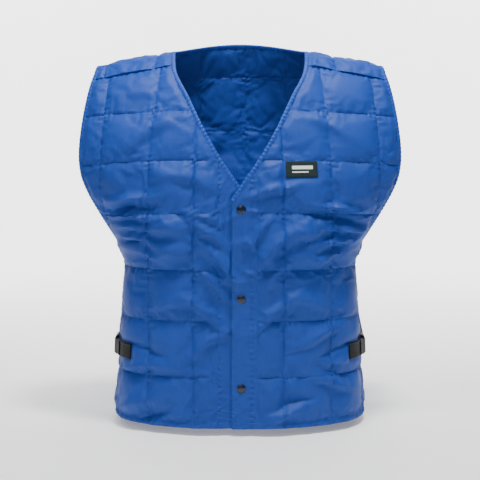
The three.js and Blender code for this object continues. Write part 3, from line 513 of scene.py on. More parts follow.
class Pattern:
    """The vest's cutting lines on the chart."""

    def __init__(self, form, cloth):
        self.form = form
        size = form.size
        turns = np.sin(np.linspace(0, math.pi / 2, EDGE_STEPS + 1))
        neck = NECKLINE[0].half * size.half_width
        s = []
        g = []
        for i, share in enumerate(turns):
            half = share * min(neck, size.neck_half)
            z = size.back_neck_rise * max(1 - share * share, 0) ** BACK_NECK_SHAPE
            level = float(form.level_at(z, half, True)) if i < EDGE_STEPS else 2.0
            s.append(form.along_to(level, half))
            g.append(level)
        half_at = through(NECKLINE, "half")
        for i in range(1, EDGE_STEPS + 1):
            down = NECKLINE[-1].down * i / EDGE_STEPS
            half = float(half_at(down)) * size.half_width
            z = min(-down * size.tall, float(form.crest_height(half)))
            level = float(form.level_at(z, half, False))
            s.append(form.along_to(level, half))
            g.append(level)
        self.neckline = Edge(s, g)
        alpha = np.linspace(0, math.pi / 2, EDGE_STEPS + 1)
        reach = size.shoulder_drop - UNDERARM_DOWN * size.tall
        z = -size.shoulder_drop + reach * np.cos(alpha) ** (2 / 3)
        levels = []
        for back in (False, True):
            level = form.level_at(z, form.tip_half, back)
            levels.append(level if not back else level[::-1][1:])
        level = np.concatenate(levels)
        self.armhole = Edge(form.edge_at(level), level)
        seam_x = SHOULDER_SEAM_AT * size.half_width
        self.shoulder_seam = float(form.level_at(-size.shoulder_seam_down, seam_x, False))
        inset = cloth.binding_width * 0.75
        self.neck_edge = self.neckline.moved(form, inset)
        self.armhole_edge = self.armhole.moved(form, inset)
        self.neck_front = self.neck_edge.part(EDGE_STEPS, None)
        self.neck_back = self.neck_edge.part(0, EDGE_STEPS + 1)
        self.arm_front = self.armhole_edge.part(0, EDGE_STEPS + 1)
        self.arm_back = self.armhole_edge.part(EDGE_STEPS, None)

    def outers(self, g):
        """Distance from the centre plane to the side seam or the armhole, at each level."""
        seam = self.form.side_at(g) - 0.02 * MM
        front = self.arm_front.at_level(g)
        back = self.arm_back.at_level(g)
        edge = np.where(g > 2, back, front)
        below = np.where(g > 2, g >= self.arm_back.g.max(), g <= self.arm_front.g.min())
        return np.where(below, seam, np.minimum(edge, seam))

    def necks(self, g):
        """Distance to the front's neck edge at each level, or far inside where it lies lower."""
        below = g < self.neck_front.g.min()
        return np.where(below, -self.form.size.half_width, self.neck_front.at_level(g))


def crowded(count):
    """Shares of a stretch, closer together at its ends where there are many."""
    t = np.arange(count) / count
    crowd = 0.42 if count > 5 else 0.0
    return t - crowd * np.sin(2 * math.pi * t) / (2 * math.pi)


def split(stops, step, scale=1.0):
    """Places between stops, about a step apart and closer beside each stop."""
    places = []
    for a, b in zip(stops[:-1], stops[1:]):
        count = max(2, int(round(abs(b - a) * scale / step)))
        places.extend(a + (b - a) * crowded(count))
    places.append(stops[-1])
    return np.array(places)


class Shell:
    """A closed piece of cloth: an outer and an inner skin over the same places on the chart."""

    def __init__(self):
        self.s = []
        self.g = []
        self.w = []
        self.faces = []

    def curve(self, s, g, w):
        """Adds a row of places, at row coordinate w."""
        start = len(self.s)
        self.s.extend(float(v) for v in s)
        self.g.extend(float(v) for v in g)
        self.w.extend([float(w)] * len(s))
        return list(zip([float(v) for v in s], range(start, len(self.s))))

    def strip(self, low, high):
        """Fills the strip between two rows, with quads where their columns agree."""
        i = j = 0
        while i < len(low) - 1 or j < len(high) - 1:
            next_low = low[i + 1][0] if i < len(low) - 1 else math.inf
            next_high = high[j + 1][0] if j < len(high) - 1 else math.inf
            last = i == len(low) - 2 and j == len(high) - 2
            if last or abs(next_low - next_high) < 1e-7:
                self.faces.append((low[i][1], low[i + 1][1], high[j + 1][1], high[j][1]))
                i += 1
                j += 1
            elif next_low < next_high:
                self.faces.append((low[i][1], low[i + 1][1], high[j][1]))
                i += 1
            else:
                self.faces.append((low[i][1], high[j + 1][1], high[j][1]))
                j += 1

    def places(self):
        """All places on the chart, in the order of the vertices."""
        return np.array(self.s), np.array(self.g)

    def mesh(self, name, outer, inner, attributes):
        """Joins both skins into one closed mesh, and stores the chart's places on it."""
        count = len(outer)
        open_edges = {}
        for face in self.faces:
            for a, b in zip(face, face[1:] + face[:1]):
                if (b, a) in open_edges:
                    del open_edges[(b, a)]
                else:
                    open_edges[(a, b)] = True
        faces = list(self.faces)
        faces += [tuple(v + count for v in reversed(face)) for face in self.faces]
        faces += [(b, a, a + count, b + count) for a, b in open_edges]
        mesh = bpy.data.meshes.new(name)
        mesh.from_pydata(np.concatenate([outer, inner]).tolist(), [], faces)
        for key, value in attributes.items():
            layer = mesh.attributes.new(key, "FLOAT", "POINT")
            layer.data.foreach_set("value", np.asarray(value, np.float32))
        mesh.update()
        mesh.shade_smooth()
        mesh.set_sharp_from_angle(angle=math.radians(48))
        return mesh


def new_piece(name, mesh, material, slot, *nodes):
    """Makes an object of a mesh, rides it on the vest's body and lets it stand for its nodes."""
    piece = bpy.data.objects.new(name, mesh)
    bpy.context.scene.collection.objects.link(piece)
    if nodes:
        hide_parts(*nodes)
    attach(piece, "root")
    mesh.materials.clear()
    mesh.materials.append(bpy.data.materials[material])
    return piece


def cell_share(stops, at):
    """How far a place lies across its cell, from 0 at one seam to 1 at the next."""
    i = np.clip(np.searchsorted(stops, at) - 1, 0, len(stops) - 2)
    return np.clip((at - stops[i]) / (stops[i + 1] - stops[i]), 0, 1)


def pillow(t):
    """The crown of a padded cell across its width."""
    return 1 - np.abs(2 * t - 1) ** 3


def fold_rise(form, piece, spots):
    """How far the folds lift the cloth. Each is steeper on its lower side."""
    total = np.zeros(len(spots))
    for fold in FOLDS[piece]:
        slant = math.radians(fold.slant)
        across = spots[:, 0] - fold.across * form.size.half_width
        up = spots[:, 2] + fold.down * form.size.tall
        run = across * math.cos(slant) + up * math.sin(slant)
        off = up * math.cos(slant) - across * math.sin(slant)
        off = off + 0.12 * run * np.sin(run / (fold.length * form.size.tall) * 2.2)
        broad = fold.breadth * form.size.tall * np.where(off < 0, 0.7, 1.25)
        reach = (run / (fold.length * form.size.tall)) ** 2 + (off / broad) ** 2
        total += fold.height * MM * np.exp(-reach)
    return total


def crumple(spots, seed):
    """Fine creases that the cloth keeps from wear, between about 0 and 1."""
    x = spots[:, 0] / 0.1
    y = spots[:, 1] / 0.1
    z = spots[:, 2] / 0.1
    bend = np.sin(2.1 * x + 1.3 * z + seed) + 0.7 * np.sin(3.7 * z - 1.9 * x + 2.2 * seed + y)
    total = np.zeros(len(spots))
    for k, (slant, pitch, size) in enumerate(WEAR):
        across = z * math.cos(slant) - x * math.sin(slant) + 0.18 * bend
        run = x * math.cos(slant) + z * math.sin(slant)
        ridge = 1 - np.abs(np.sin(math.pi * across / pitch + 1.7 * k + seed))
        mask = np.sin(1.9 * run + 0.9 * bend + 2.3 * k + seed)
        mask = mask + 0.6 * np.sin(3.1 * across - 1.1 * run + k)
        total += size * ridge**4 * smooth(mask * 0.9)
    return total / 1.6


def creases(form, cloth, spots, back=False):
    """All folds and creases of the front or the back, as heights."""
    down = -spots[:, 2] / form.size.tall
    worn = 0.4 + 0.7 * smooth(1 - np.abs(down - 0.47) / 0.2) + 0.35 * smooth((down - 0.8) / 0.2)
    if not back:
        middle = np.exp(-((spots[:, 0] / 0.085) ** 2)) * smooth(1 - np.abs(down - 0.5) / 0.3)
        worn = worn + 0.5 * middle + 0.5 * smooth(1 - np.abs(down - 0.48) / 0.14)
    folds = FOLD_LIFT * fold_rise(form, "back" if back else "front", spots)
    return folds + cloth.crease * worn * (crumple(spots, 4.0 if back else 1.0) - 0.3)


def hem_flare(form, x, z, seed):
    """How far the hem waves out, at places of height z."""
    share = smooth(1 - (z - form.hem) / FLARE_TALL)
    return share * FLARE_HEIGHT * ripple(2 * math.pi * x / FLARE_WAVE, seed)


def hem_fold(cloth, hem):
    """The turned edge of the hem, from the height above it."""
    return 0.6 * MM * (1 - smooth((hem - cloth.hem_turn) / MM)) * smooth(hem / (2 * MM))


def lap_sink(cloth, s):
    """How far the lower front sinks where it laps under the upper one."""
    reach = 2.4 * cloth.under_seam
    return cloth.lap_depth * smooth((s + reach) / (reach - cloth.overlap))


def edge_distance(form, lines, s, g):
    """Distance from places on the chart to the nearest of some lines, on the form."""
    points = form.point(s, g)
    nearest = np.full(len(s), 1.0)
    for line in lines:
        path = form.point(line.s, line.g)
        for start in range(0, len(points), 4000):
            block = points[start : start + 4000]
            gap = np.linalg.norm(block[:, None, :] - path[None, :, :], axis=2).min(axis=1)
            nearest[start : start + 4000] = np.minimum(nearest[start : start + 4000], gap)
    return nearest


def settings():
    """The chart, the cutting lines and the property groups, as the panel has them now."""
    scene = bpy.context.scene
    form = Form(scene.vest_form)
    return form, scene.vest_cloth, Pattern(form, scene.vest_cloth)


# Materials


def node(tree, kind, **values):
    """Adds a shader node; values set its inputs by name, with spaces written as underscores."""
    made = tree.nodes.new(kind)
    for key, value in values.items():
        name = key.replace("_", " ")
        if name in made.inputs:
            made.inputs[name].default_value = value
        else:
            setattr(made, key, value)
    return made


def new_material(name):
    """A material with its node tree, its shader and the object coordinates."""
    material = bpy.data.materials.new(name)
    material.use_nodes = True
    tree = material.node_tree
    shader = tree.nodes["Principled BSDF"]
    coords = tree.nodes.new("ShaderNodeTexCoord")
    return material, tree, shader, coords.outputs["Object"]


def math_node(tree, operation, first, second=0.5):
    """Adds a maths node and returns its result; each input is a number or a socket."""
    made = tree.nodes.new("ShaderNodeMath")
    made.operation = operation
    for socket, value in zip(made.inputs, (first, second)):
        if isinstance(value, (int, float)):
            socket.default_value = value
        else:
            tree.links.new(value, socket)
    return made.outputs[0]


def shaded(tree, colour, share, darker, lighter):
    """A colour that runs from a darker to a lighter tone of itself."""
    ramp = tree.nodes.new("ShaderNodeMix")
    ramp.data_type = "RGBA"
    ramp.inputs[6].default_value = (*[c * darker for c in colour], 1)
    ramp.inputs[7].default_value = (*[min(c * lighter, 1) for c in colour], 1)
    tree.links.new(share, ramp.inputs[0])
    return ramp.outputs[2]


def cloth_material(name, colour, thread=0.55, rough=0.58, sheen=0.05):
    """Closely woven nylon with a soft sheen, faint creases and slightly uneven colour."""
    material, tree, shader, coords = new_material(name)
    cloud = node(tree, "ShaderNodeTexNoise", Scale=14.0, Detail=5.0, Roughness=0.6)
    tree.links.new(coords, cloud.inputs["Vector"])
    weave = []
    for axis in ("X", "Y", "Z"):
        wave = node(tree, "ShaderNodeTexWave", Scale=0.314 / (thread * MM), Distortion=0.0)
        wave.wave_type = "BANDS"
        wave.bands_direction = axis
        tree.links.new(coords, wave.inputs["Vector"])
        weave.append(wave.outputs["Fac"])
    threads = math_node(tree, "ADD", math_node(tree, "MULTIPLY", weave[0], weave[2]), weave[1])
    fine = node(tree, "ShaderNodeBump", Strength=0.22, Distance=0.06 * MM)
    tree.links.new(threads, fine.inputs["Height"])
    crease = node(tree, "ShaderNodeTexNoise", Scale=95.0, Detail=7.0, Roughness=0.66, Distortion=0.9)
    tree.links.new(coords, crease.inputs["Vector"])
    bump = node(tree, "ShaderNodeBump", Strength=0.55, Distance=0.9 * MM)
    tree.links.new(crease.outputs["Fac"], bump.inputs["Height"])
    tree.links.new(fine.outputs["Normal"], bump.inputs["Normal"])
    stretch = tree.nodes.new("ShaderNodeMapping")
    stretch.inputs["Scale"].default_value = (420, 420, 60)
    tree.links.new(coords, stretch.inputs["Vector"])
    streak = node(tree, "ShaderNodeTexNoise", Scale=1.0, Detail=4.0, Roughness=0.6)
    tree.links.new(stretch.outputs["Vector"], streak.inputs["Vector"])
    slub = node(tree, "ShaderNodeBump", Strength=0.4, Distance=0.22 * MM)
    tree.links.new(streak.outputs["Fac"], slub.inputs["Height"])
    tree.links.new(bump.outputs["Normal"], slub.inputs["Normal"])
    tree.links.new(slub.outputs["Normal"], shader.inputs["Normal"])
    tone = math_node(tree, "MULTIPLY_ADD", streak.outputs["Fac"], 0.5)
    tree.links.new(math_node(tree, "MULTIPLY", cloud.outputs["Fac"], 0.5), tone.node.inputs[2])
    tree.links.new(shaded(tree, colour, tone, 0.72, 1.3), shader.inputs["Base Color"])
    patchy = math_node(tree, "MULTIPLY_ADD", cloud.outputs["Fac"], 0.16)
    patchy.node.inputs[2].default_value = rough - 0.08
    tree.links.new(patchy, shader.inputs["Roughness"])
    shader.inputs["Specular IOR Level"].default_value = 0.26
    shader.inputs["Sheen Weight"].default_value = sheen
    shader.inputs["Sheen Roughness"].default_value = 0.45
    shader.inputs["Sheen Tint"].default_value = (0.45, 0.62, 1.0, 1)
    return material


RIB_PITCH = 2.08
PICK_PITCH = 1.5


def webbing_material(name, colour):
    """Coarse ribbed webbing, from the mesh's own u across and v along, in millimetres, with painted shade
    in the hollows of the weave and a painted highlight on its ribs.
    """
    material, tree, shader, coords = new_material(name)
    across = node(tree, "ShaderNodeAttribute")
    across.attribute_name = "u"
    along = node(tree, "ShaderNodeAttribute")
    along.attribute_name = "v"
    u = across.outputs["Fac"]
    v = along.outputs["Fac"]
    wave = math_node(tree, "SINE", math_node(tree, "MULTIPLY", u, math.pi / RIB_PITCH))
    rib = math_node(tree, "ABSOLUTE", wave)
    lane = math_node(tree, "FLOOR", math_node(tree, "DIVIDE", u, RIB_PITCH))
    shift = math_node(tree, "MULTIPLY", lane, math.pi)
    turn = math_node(tree, "ADD", math_node(tree, "MULTIPLY", v, 2 * math.pi / PICK_PITCH), shift)
    pick = math_node(tree, "MULTIPLY_ADD", math_node(tree, "SINE", turn), 0.35)
    pick.node.inputs[2].default_value = 0.65
    height = math_node(tree, "MULTIPLY", rib, pick)
    # Painted shade and highlight: the colour darkens in the hollows between ribs and picks and lightens
    # on their crests, following the same height as the bump.
    tree.links.new(shaded(tree, colour, height, 0.45, 2.4), shader.inputs["Base Color"])
    bump = node(tree, "ShaderNodeBump", Strength=0.8, Distance=0.35 * MM)
    tree.links.new(height, bump.inputs["Height"])
    fuzz = node(tree, "ShaderNodeTexNoise", Scale=2200.0, Detail=3.0, Roughness=0.6)
    tree.links.new(coords, fuzz.inputs["Vector"])
    fine = node(tree, "ShaderNodeBump", Strength=0.3, Distance=0.1 * MM)
    tree.links.new(fuzz.outputs["Fac"], fine.inputs["Height"])
    tree.links.new(bump.outputs["Normal"], fine.inputs["Normal"])
    tree.links.new(fine.outputs["Normal"], shader.inputs["Normal"])
    shader.inputs["Roughness"].default_value = 0.62
    shader.inputs["Specular IOR Level"].default_value = 0.18
    shader.inputs["Sheen Weight"].default_value = 0.04
    return material


def metal_material(name, colour):
    """Dark enamel over metal, lightly scuffed."""
    material, tree, shader, coords = new_material(name)
    cloud = node(tree, "ShaderNodeTexNoise", Scale=260.0, Detail=6.0, Roughness=0.65)
    tree.links.new(coords, cloud.inputs["Vector"])
    tree.links.new(shaded(tree, colour, cloud.outputs["Fac"], 0.75, 1.35), shader.inputs["Base Color"])
    rough = math_node(tree, "MULTIPLY_ADD", cloud.outputs["Fac"], 0.22)
    rough.node.inputs[2].default_value = 0.12
    tree.links.new(rough, shader.inputs["Roughness"])
    bump = node(tree, "ShaderNodeBump", Strength=0.12, Distance=0.05 * MM)
    tree.links.new(cloud.outputs["Fac"], bump.inputs["Height"])
    tree.links.new(bump.outputs["Normal"], shader.inputs["Normal"])
    shader.inputs["Metallic"].default_value = 0.25
    shader.inputs["Coat Weight"].default_value = 0.25
    shader.inputs["Coat Roughness"].default_value = 0.18
    return material


def plastic_material(name, colour):
    """Moulded plastic with a fine grain."""
    material, tree, shader, coords = new_material(name)
    grain = node(tree, "ShaderNodeTexNoise", Scale=1400.0, Detail=3.0, Roughness=0.5)
    tree.links.new(coords, grain.inputs["Vector"])
    tree.links.new(shaded(tree, colour, grain.outputs["Fac"], 0.85, 1.25), shader.inputs["Base Color"])
    rough = math_node(tree, "MULTIPLY_ADD", grain.outputs["Fac"], 0.15)
    rough.node.inputs[2].default_value = 0.36
    tree.links.new(rough, shader.inputs["Roughness"])
    bump = node(tree, "ShaderNodeBump", Strength=0.2, Distance=0.06 * MM)
    tree.links.new(grain.outputs["Fac"], bump.inputs["Height"])
    tree.links.new(bump.outputs["Normal"], shader.inputs["Normal"])
    shader.inputs["Specular IOR Level"].default_value = 0.3
    return material


def label_material(name, colour, mark):
    """Fine woven label: a plain ground with two bars, placed by the mesh's own u and v."""
    material, tree, shader, coords = new_material(name)
    places = {}
    for key in ("u", "v"):
        attribute = node(tree, "ShaderNodeAttribute")
        attribute.attribute_name = key
        places[key] = attribute.outputs["Fac"]

    def inside(place, low, high):
        above = math_node(tree, "GREATER_THAN", place, low)
        return math_node(tree, "MULTIPLY", above, math_node(tree, "LESS_THAN", place, high))

    thick = math_node(tree, "MULTIPLY", inside(places["u"], 0.2, 0.86), inside(places["v"], 0.5, 0.72))
    thin = math_node(tree, "MULTIPLY", inside(places["u"], 0.2, 0.72), inside(places["v"], 0.28, 0.36))
    bars = math_node(tree, "ADD", thick, thin)
    mix = tree.nodes.new("ShaderNodeMix")
    mix.data_type = "RGBA"
    mix.inputs[6].default_value = (*colour, 1)
    mix.inputs[7].default_value = (*mark, 1)
    tree.links.new(bars, mix.inputs[0])
    tree.links.new(mix.outputs[2], shader.inputs["Base Color"])
    ribs = node(tree, "ShaderNodeTexWave", Scale=0.314 / (0.45 * MM), Distortion=0.4)
    ribs.bands_direction = "Z"
    tree.links.new(coords, ribs.inputs["Vector"])
    bump = node(tree, "ShaderNodeBump", Strength=0.5, Distance=0.15 * MM)
    tree.links.new(ribs.outputs["Fac"], bump.inputs["Height"])
    tree.links.new(bump.outputs["Normal"], shader.inputs["Normal"])
    shader.inputs["Roughness"].default_value = 0.6
    shader.inputs["Specular IOR Level"].default_value = 0.25
    shader.inputs["Sheen Weight"].default_value = 0.05
    return material


# Pieces of cloth


class Sewing:
    """The seams of one quilted panel: upright lines at set places, and rows that are curves."""

    def __init__(self, form, lines, rows, start, end):
        self.form = form
        self.lines = np.array(lines)
        self.stitched = self.lines if start < 0 else self.lines[1:]
        self.dense = np.linspace(start, end, 500)
        self.curves = [np.asarray(row(self.dense)) for row in rows]

    def level(self, w, s):
        """Chart level of row coordinate w, such as 1.5 midway between seams 1 and 2."""
        i = min(int(w), len(self.curves) - 2)
        part = w - i
        curve = self.curves[i] * (1 - part) + self.curves[i + 1] * part
        return np.interp(s, self.dense, curve)


def level_curve(form, height, drop, back):
    """A quilting row at a height, which falls towards the armholes by drop."""

    def curve(s):
        levels = np.linspace(4, 2, 300) if back else np.linspace(0, 2, 300)
        grid_s, grid_g = np.meshgrid(s, levels, indexing="ij")
        heights = form.point(grid_s.ravel(), grid_g.ravel())[:, 2].reshape(grid_s.shape)
        widest = form.side.max()
        target = height - drop * np.clip(np.abs(s) / widest, 0, 1) ** 2.5
        rising = np.maximum.accumulate(heights, axis=1)
        return np.array([np.interp(t, row, levels) for t, row in zip(target, rising)])

    return curve


def flat_curve(level):
    """A row at one level of the chart."""
    return lambda s: np.full(len(np.atleast_1d(s)), float(level))


def clip_row(sewing, w, low, high):
    """Where the row at w lies inside the panel: its start and its end."""
    s = sewing.dense
    g = sewing.level(w, s)
    room = np.minimum(s - low(g), high(g) - s)
    inside = np.flatnonzero(room > 0)
    if len(inside) < 2:
        return None
    a, b = inside[0], inside[-1]
    start = s[a] if a == 0 else s[a - 1] + (s[a] - s[a - 1]) * room[a - 1] / (room[a - 1] - room[a])
    end = s[b] if b == len(s) - 1 else s[b] + (s[b + 1] - s[b]) * room[b] / (room[b] - room[b + 1])
    return start, end


def lay_rows(shell, sewing, steps, places, low, high, tolerance, before=None):
    """Fills a shell row by row on shared columns, each row cut off at the panel's edges."""
    for w in steps:
        ends = clip_row(sewing, w, low, high)
        if not ends or ends[1] - ends[0] < tolerance * 0.5:
            continue
        inside = places[(places > ends[0] + tolerance) & (places < ends[1] - tolerance)]
        run = np.array([ends[0], *inside, ends[1]])
        now = shell.curve(run, sewing.level(w, run), w)
        if before:
            shell.strip(before, now)
        before = now
    return before


def quilt(form, cloth, shell, sewing, side, edges, sink, plain=0.0):
    """Heights of both skins of a quilted panel, and how far each place lies from a seam."""
    s, g = shell.places()
    w = np.array(shell.w)
    z = form.point(np.zeros_like(s), g)[:, 2]
    spots = form.point(s, g)
    spots[:, 0] *= side or 1
    across = cell_share(sewing.lines, s)
    off_line = np.abs(s[:, None] - sewing.stitched[None, :]).min(axis=1)
    nearest = np.clip(np.round(w), 0, len(sewing.curves) - 1).astype(int)
    table = np.array(sewing.curves)
    steps = len(sewing.dense) - 1
    place = (s - sewing.dense[0]) / (sewing.dense[-1] - sewing.dense[0]) * steps
    place = np.clip(place, 0, steps - 0.001)
    low = place.astype(int)
    seam_level = table[nearest, low] * (1 - (place - low)) + table[nearest, low + 1] * (place - low)
    _, along, _ = form.directions(s, g)
    off_row = np.abs(g - seam_level) * np.linalg.norm(along, axis=1)
    off_row = np.where(w < 0, 1.0, off_row)
    open_cloth = smooth((s - plain) / (6 * MM)) if plain else np.ones_like(s)
    off_row = off_row + (1 - open_cloth) * 0.02
    edge = edge_distance(form, edges, s, g)
    hem = z - form.hem
    fade = smooth((hem - cloth.hem_turn) / PADDING_REACH)
    edge_fade = smooth(edge / PADDING_REACH)
    share = np.clip(w - np.floor(w), 0, 1)
    upward = np.where(w < 0, 1.0, pillow(share)) * open_cloth + (1 - open_cloth) * 0.35
    puff = pillow(across) * upward * fade * edge_fade
    fold = creases(form, cloth, spots, not side)
    side_gap = form.side_at(g) - np.abs(s)
    fold = fold * smooth(side_gap / SIDE_FOLD_REACH) * smooth(edge / FOLD_REACH)
    fold = fold + hem_flare(form, spots[:, 0], z, 2.7 if side else 6.1) * smooth(side_gap / 0.04)
    off_side = np.where(w < 0, 1.0, side_gap)
    row_turn = 2 * math.pi * s / cloth.pucker_pitch + 0.8 * ripple(s / 0.021, nearest)
    wave_row = ripple(row_turn, nearest * 2.3 + (w > nearest) * 0.5)
    column = np.abs(s[:, None] - sewing.lines[None, :]).argmin(axis=1)
    line_turn = 2 * math.pi * z / cloth.pucker_pitch + 0.8 * ripple(z / 0.021, column)
    wave_line = ripple(line_turn, column * 1.9 + (s > sewing.lines[column]) * 0.5)
    wave_hem = ripple(2 * math.pi * s / (cloth.pucker_pitch * 1.5), 9.1)
    wave_side = ripple(2 * math.pi * z / cloth.pucker_pitch, 7.7)
    pucker = cloth.pucker * wave_row * np.exp(-off_row / PUCKER_REACH) * fade
    pucker = pucker + cloth.pucker * wave_line * np.exp(-off_line / PUCKER_REACH) * fade
    off_hem = np.abs(hem - cloth.hem_turn)
    pucker = pucker + cloth.pucker * wave_hem * np.exp(-off_hem / PUCKER_REACH)
    beside = cloth.pucker * 0.8 * wave_side * np.exp(-off_side / PUCKER_REACH) * fade
    pucker = pucker * smooth(side_gap / (8 * MM)) + beside
    puff = puff * smooth(off_side / (12 * MM))
    seam = np.minimum(np.minimum(off_row, off_line), off_hem)
    seam = np.minimum(seam, np.where(off_side < 0.5 * MM, 0.0, seam))
    groove = 0.75 * MM * np.exp(-((seam / (1.5 * MM)) ** 2))
    turned = hem_fold(cloth, hem)
    outer = fold - sink + cloth.seam_wall / 2 + cloth.puff_out * puff + pucker - groove + turned
    inner = fold - sink - cloth.seam_wall / 2 - cloth.puff_in * puff
    inner = inner + 0.8 * pucker + groove * 0.6 - turned
    room = free_room(spots)
    outer = outer * room + np.minimum(outer, 3.1 * MM) * (1 - room)
    return outer, inner, seam


def skins(form, shell, outer, inner, name, side=1, extra=None):
    """The closed mesh of a shell, from the heights of both its skins above the form."""
    s, g = shell.places()
    base = form.point(s, g)
    _, _, normal = form.directions(s, g)
    top = base + normal * outer[:, None]
    under = base + normal * inner[:, None]
    attributes = {"along": np.tile(s, 2), "level": np.tile(g, 2)}
    for key, value in (extra or {}).items():
        attributes[key] = np.tile(value, 2)
    if side < 0:
        top[:, 0] *= -1
        under[:, 0] *= -1
        shell.faces = [tuple(reversed(face)) for face in shell.faces]
    return shell.mesh(name, top, under, attributes)


def swell(piece, pinned, room, pressure=0.9, spare=0.04, cap=0.0022, frames=16):
    """Lets the padding swell a panel between its seams, with a little spare cloth that buckles."""
    mesh = piece.data
    count = len(mesh.vertices)
    start = np.empty(count * 3)
    mesh.vertices.foreach_get("co", start)
    start = start.reshape(-1, 3)
    group = piece.vertex_groups.new(name="Seams")
    group.add([int(i) for i in np.flatnonzero(pinned)], 1.0, "REPLACE")
    modifier = piece.modifiers.new("Cloth", "CLOTH")
    rules = modifier.settings
    rules.quality = 4
    rules.mass = 0.12
    rules.tension_stiffness = 12
    rules.compression_stiffness = 12
    rules.shear_stiffness = 4
    rules.bending_stiffness = 0.06
    rules.air_damping = 4
    rules.vertex_group_mass = "Seams"
    rules.pin_stiffness = 1
    rules.use_pressure = True
    rules.uniform_pressure_force = pressure
    rules.shrink_min = -spare
    rules.effector_weights.gravity = 0
    modifier.collision_settings.use_collision = False
    modifier.point_cache.frame_start = 1
    modifier.point_cache.frame_end = frames
    scene = bpy.context.scene
    for number in range(1, frames + 1):
        scene.frame_set(number)
    shaped = piece.evaluated_get(bpy.context.evaluated_depsgraph_get())
    moved = np.empty(count * 3)
    shaped.data.vertices.foreach_get("co", moved)
    moved = moved.reshape(-1, 3) - start
    size = np.linalg.norm(moved, axis=1, keepdims=True)
    moved *= cap * np.tanh(size / cap) / np.maximum(size, 1e-9) * room[:, None]
    piece.modifiers.remove(modifier)
    piece.vertex_groups.remove(group)
    scene.frame_set(1)
    mesh.vertices.foreach_set("co", (start + moved).ravel())
    mesh.update()


def settle(piece, seam, rim):
    """Runs the swelling on a panel whose seams and rim are sewn down."""
    pinned = np.concatenate([(seam < 1.1 * MM) | rim] * 2)
    spots = np.empty(len(piece.data.vertices) * 3)
    piece.data.vertices.foreach_get("co", spots)
    swell(piece, pinned, free_room(spots.reshape(-1, 3)))


def free_room(spots):
    """How freely the cloth may swell: not under the label, the straps and the buckles."""
    room = np.ones(len(spots))
    names = ["label_patch"]
    for name in ("left", "right"):
        names += [f"strap_front_{name}", f"strap_back_{name}", f"buckle_{name}"]
    for name in names:
        low, high = (np.array(corner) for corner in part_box(name))
        if name.startswith("strap_back"):
            high[2] = low[2] + 0.03
        gap = np.linalg.norm(np.maximum(np.maximum(low - spots, spots - high), 0), axis=1)
        room = np.minimum(room, smooth(gap / 0.012))
    return room


def rim_places(shell):
    """Which places of a shell lie on its rim."""
    uses = {}
    for face in shell.faces:
        for a, b in zip(face, face[1:] + face[:1]):
            key = (min(a, b), max(a, b))
            uses[key] = uses.get(key, 0) + 1
    rim = np.zeros(len(shell.s), bool)
    for (a, b), count in uses.items():
        if count == 1:
            rim[a] = True
            rim[b] = True
    return rim


# What is still to be stitched: vertices of a panel by its name, and lines of points by theirs.
STITCH_PATHS = {}
STITCH_LINES = {}
StitchLine = namedtuple("StitchLine", "paths material slot")


def seam_paths(shell, sewing):
    """Keeps the runs of vertices that lie on the seams, for the stitches."""
    s = np.array(shell.s)
    w = np.array(shell.w)
    g = np.array(shell.g)
    paths = []
    for i in range(len(sewing.curves)):
        on = np.flatnonzero(np.abs(w - i) < 1e-6)
        if len(on) > 3 and 0 < i < len(sewing.curves) - 1:
            paths.append(on[np.argsort(s[on])])
    for line in sewing.lines:
        on = np.flatnonzero(np.abs(s - line) < 1e-7)
        if len(on) > 3:
            paths.append(on[np.argsort(g[on])])
    return paths


def panel_steps(sewing, first, last, step):
    """Row coordinates between two seams, spaced about a step apart and closer at each seam."""
    middle = sewing.dense[len(sewing.dense) // 3]
    steps = []
    for i in range(first, last):
        levels = np.array([sewing.level(i, middle), sewing.level(i + 1, middle)])
        ends = sewing.form.point(np.full(2, middle), levels)
        room = float(np.linalg.norm(ends[1] - ends[0]))
        count = max(2, int(round(room / step)))
        steps.extend(i + crowded(count))
    steps.append(float(last))
    return steps


def build_front(side):
    """The quilted front on one side. The chart is worked on +X and mirrored for the other."""
    form, cloth, pattern = settings()
    half = form.size.half_width
    name = "left" if side > 0 else "right"
    seam = cloth.placket_seam if side > 0 else cloth.under_seam
    lines = [line * half for line in (LEFT_LINES if side > 0 else RIGHT_LINES)]
    widest = form.side.max()
    curves = [flat_curve(0), flat_curve(cloth.hem_turn / form.unit)]
    for down in FRONT_ROWS:
        drop = form.size.side_sag * (1.9 if down < 0.45 else 1.0)
        curves.append(level_curve(form, -down * form.size.tall, drop, False))
    curves.append(flat_curve(pattern.shoulder_seam))
    sewing = Sewing(form, [seam, *lines, widest * 1.03], curves, seam, widest)
    places = split([seam, *[line for line in lines if line > seam], widest], cloth.step)
    shell = Shell()
    steps = panel_steps(sewing, 0, len(curves) - 1, cloth.step)
    lay_rows(shell, sewing, steps, places, pattern.necks, pattern.outers, cloth.step * 0.4)
    s, _ = shell.places()
    sink = lap_sink(cloth, -s) if side < 0 else np.zeros_like(s)
    edges = [pattern.arm_front, pattern.neck_front]
    plain = 0.0 if side > 0 else PLAIN_WIDTH
    outer, inner, seams = quilt(form, cloth, shell, sewing, side, edges, sink, plain)
    mesh = skins(form, shell, outer, inner, f"front_{name}", side, {"seam": seams})
    piece = new_piece(f"front_{name}", mesh, "Quilted cloth", "quilted_cloth", f"front_panel_{name}")
    settle(piece, seams, rim_places(shell))
    STITCH_PATHS[piece.name] = seam_paths(shell, sewing)
    return piece


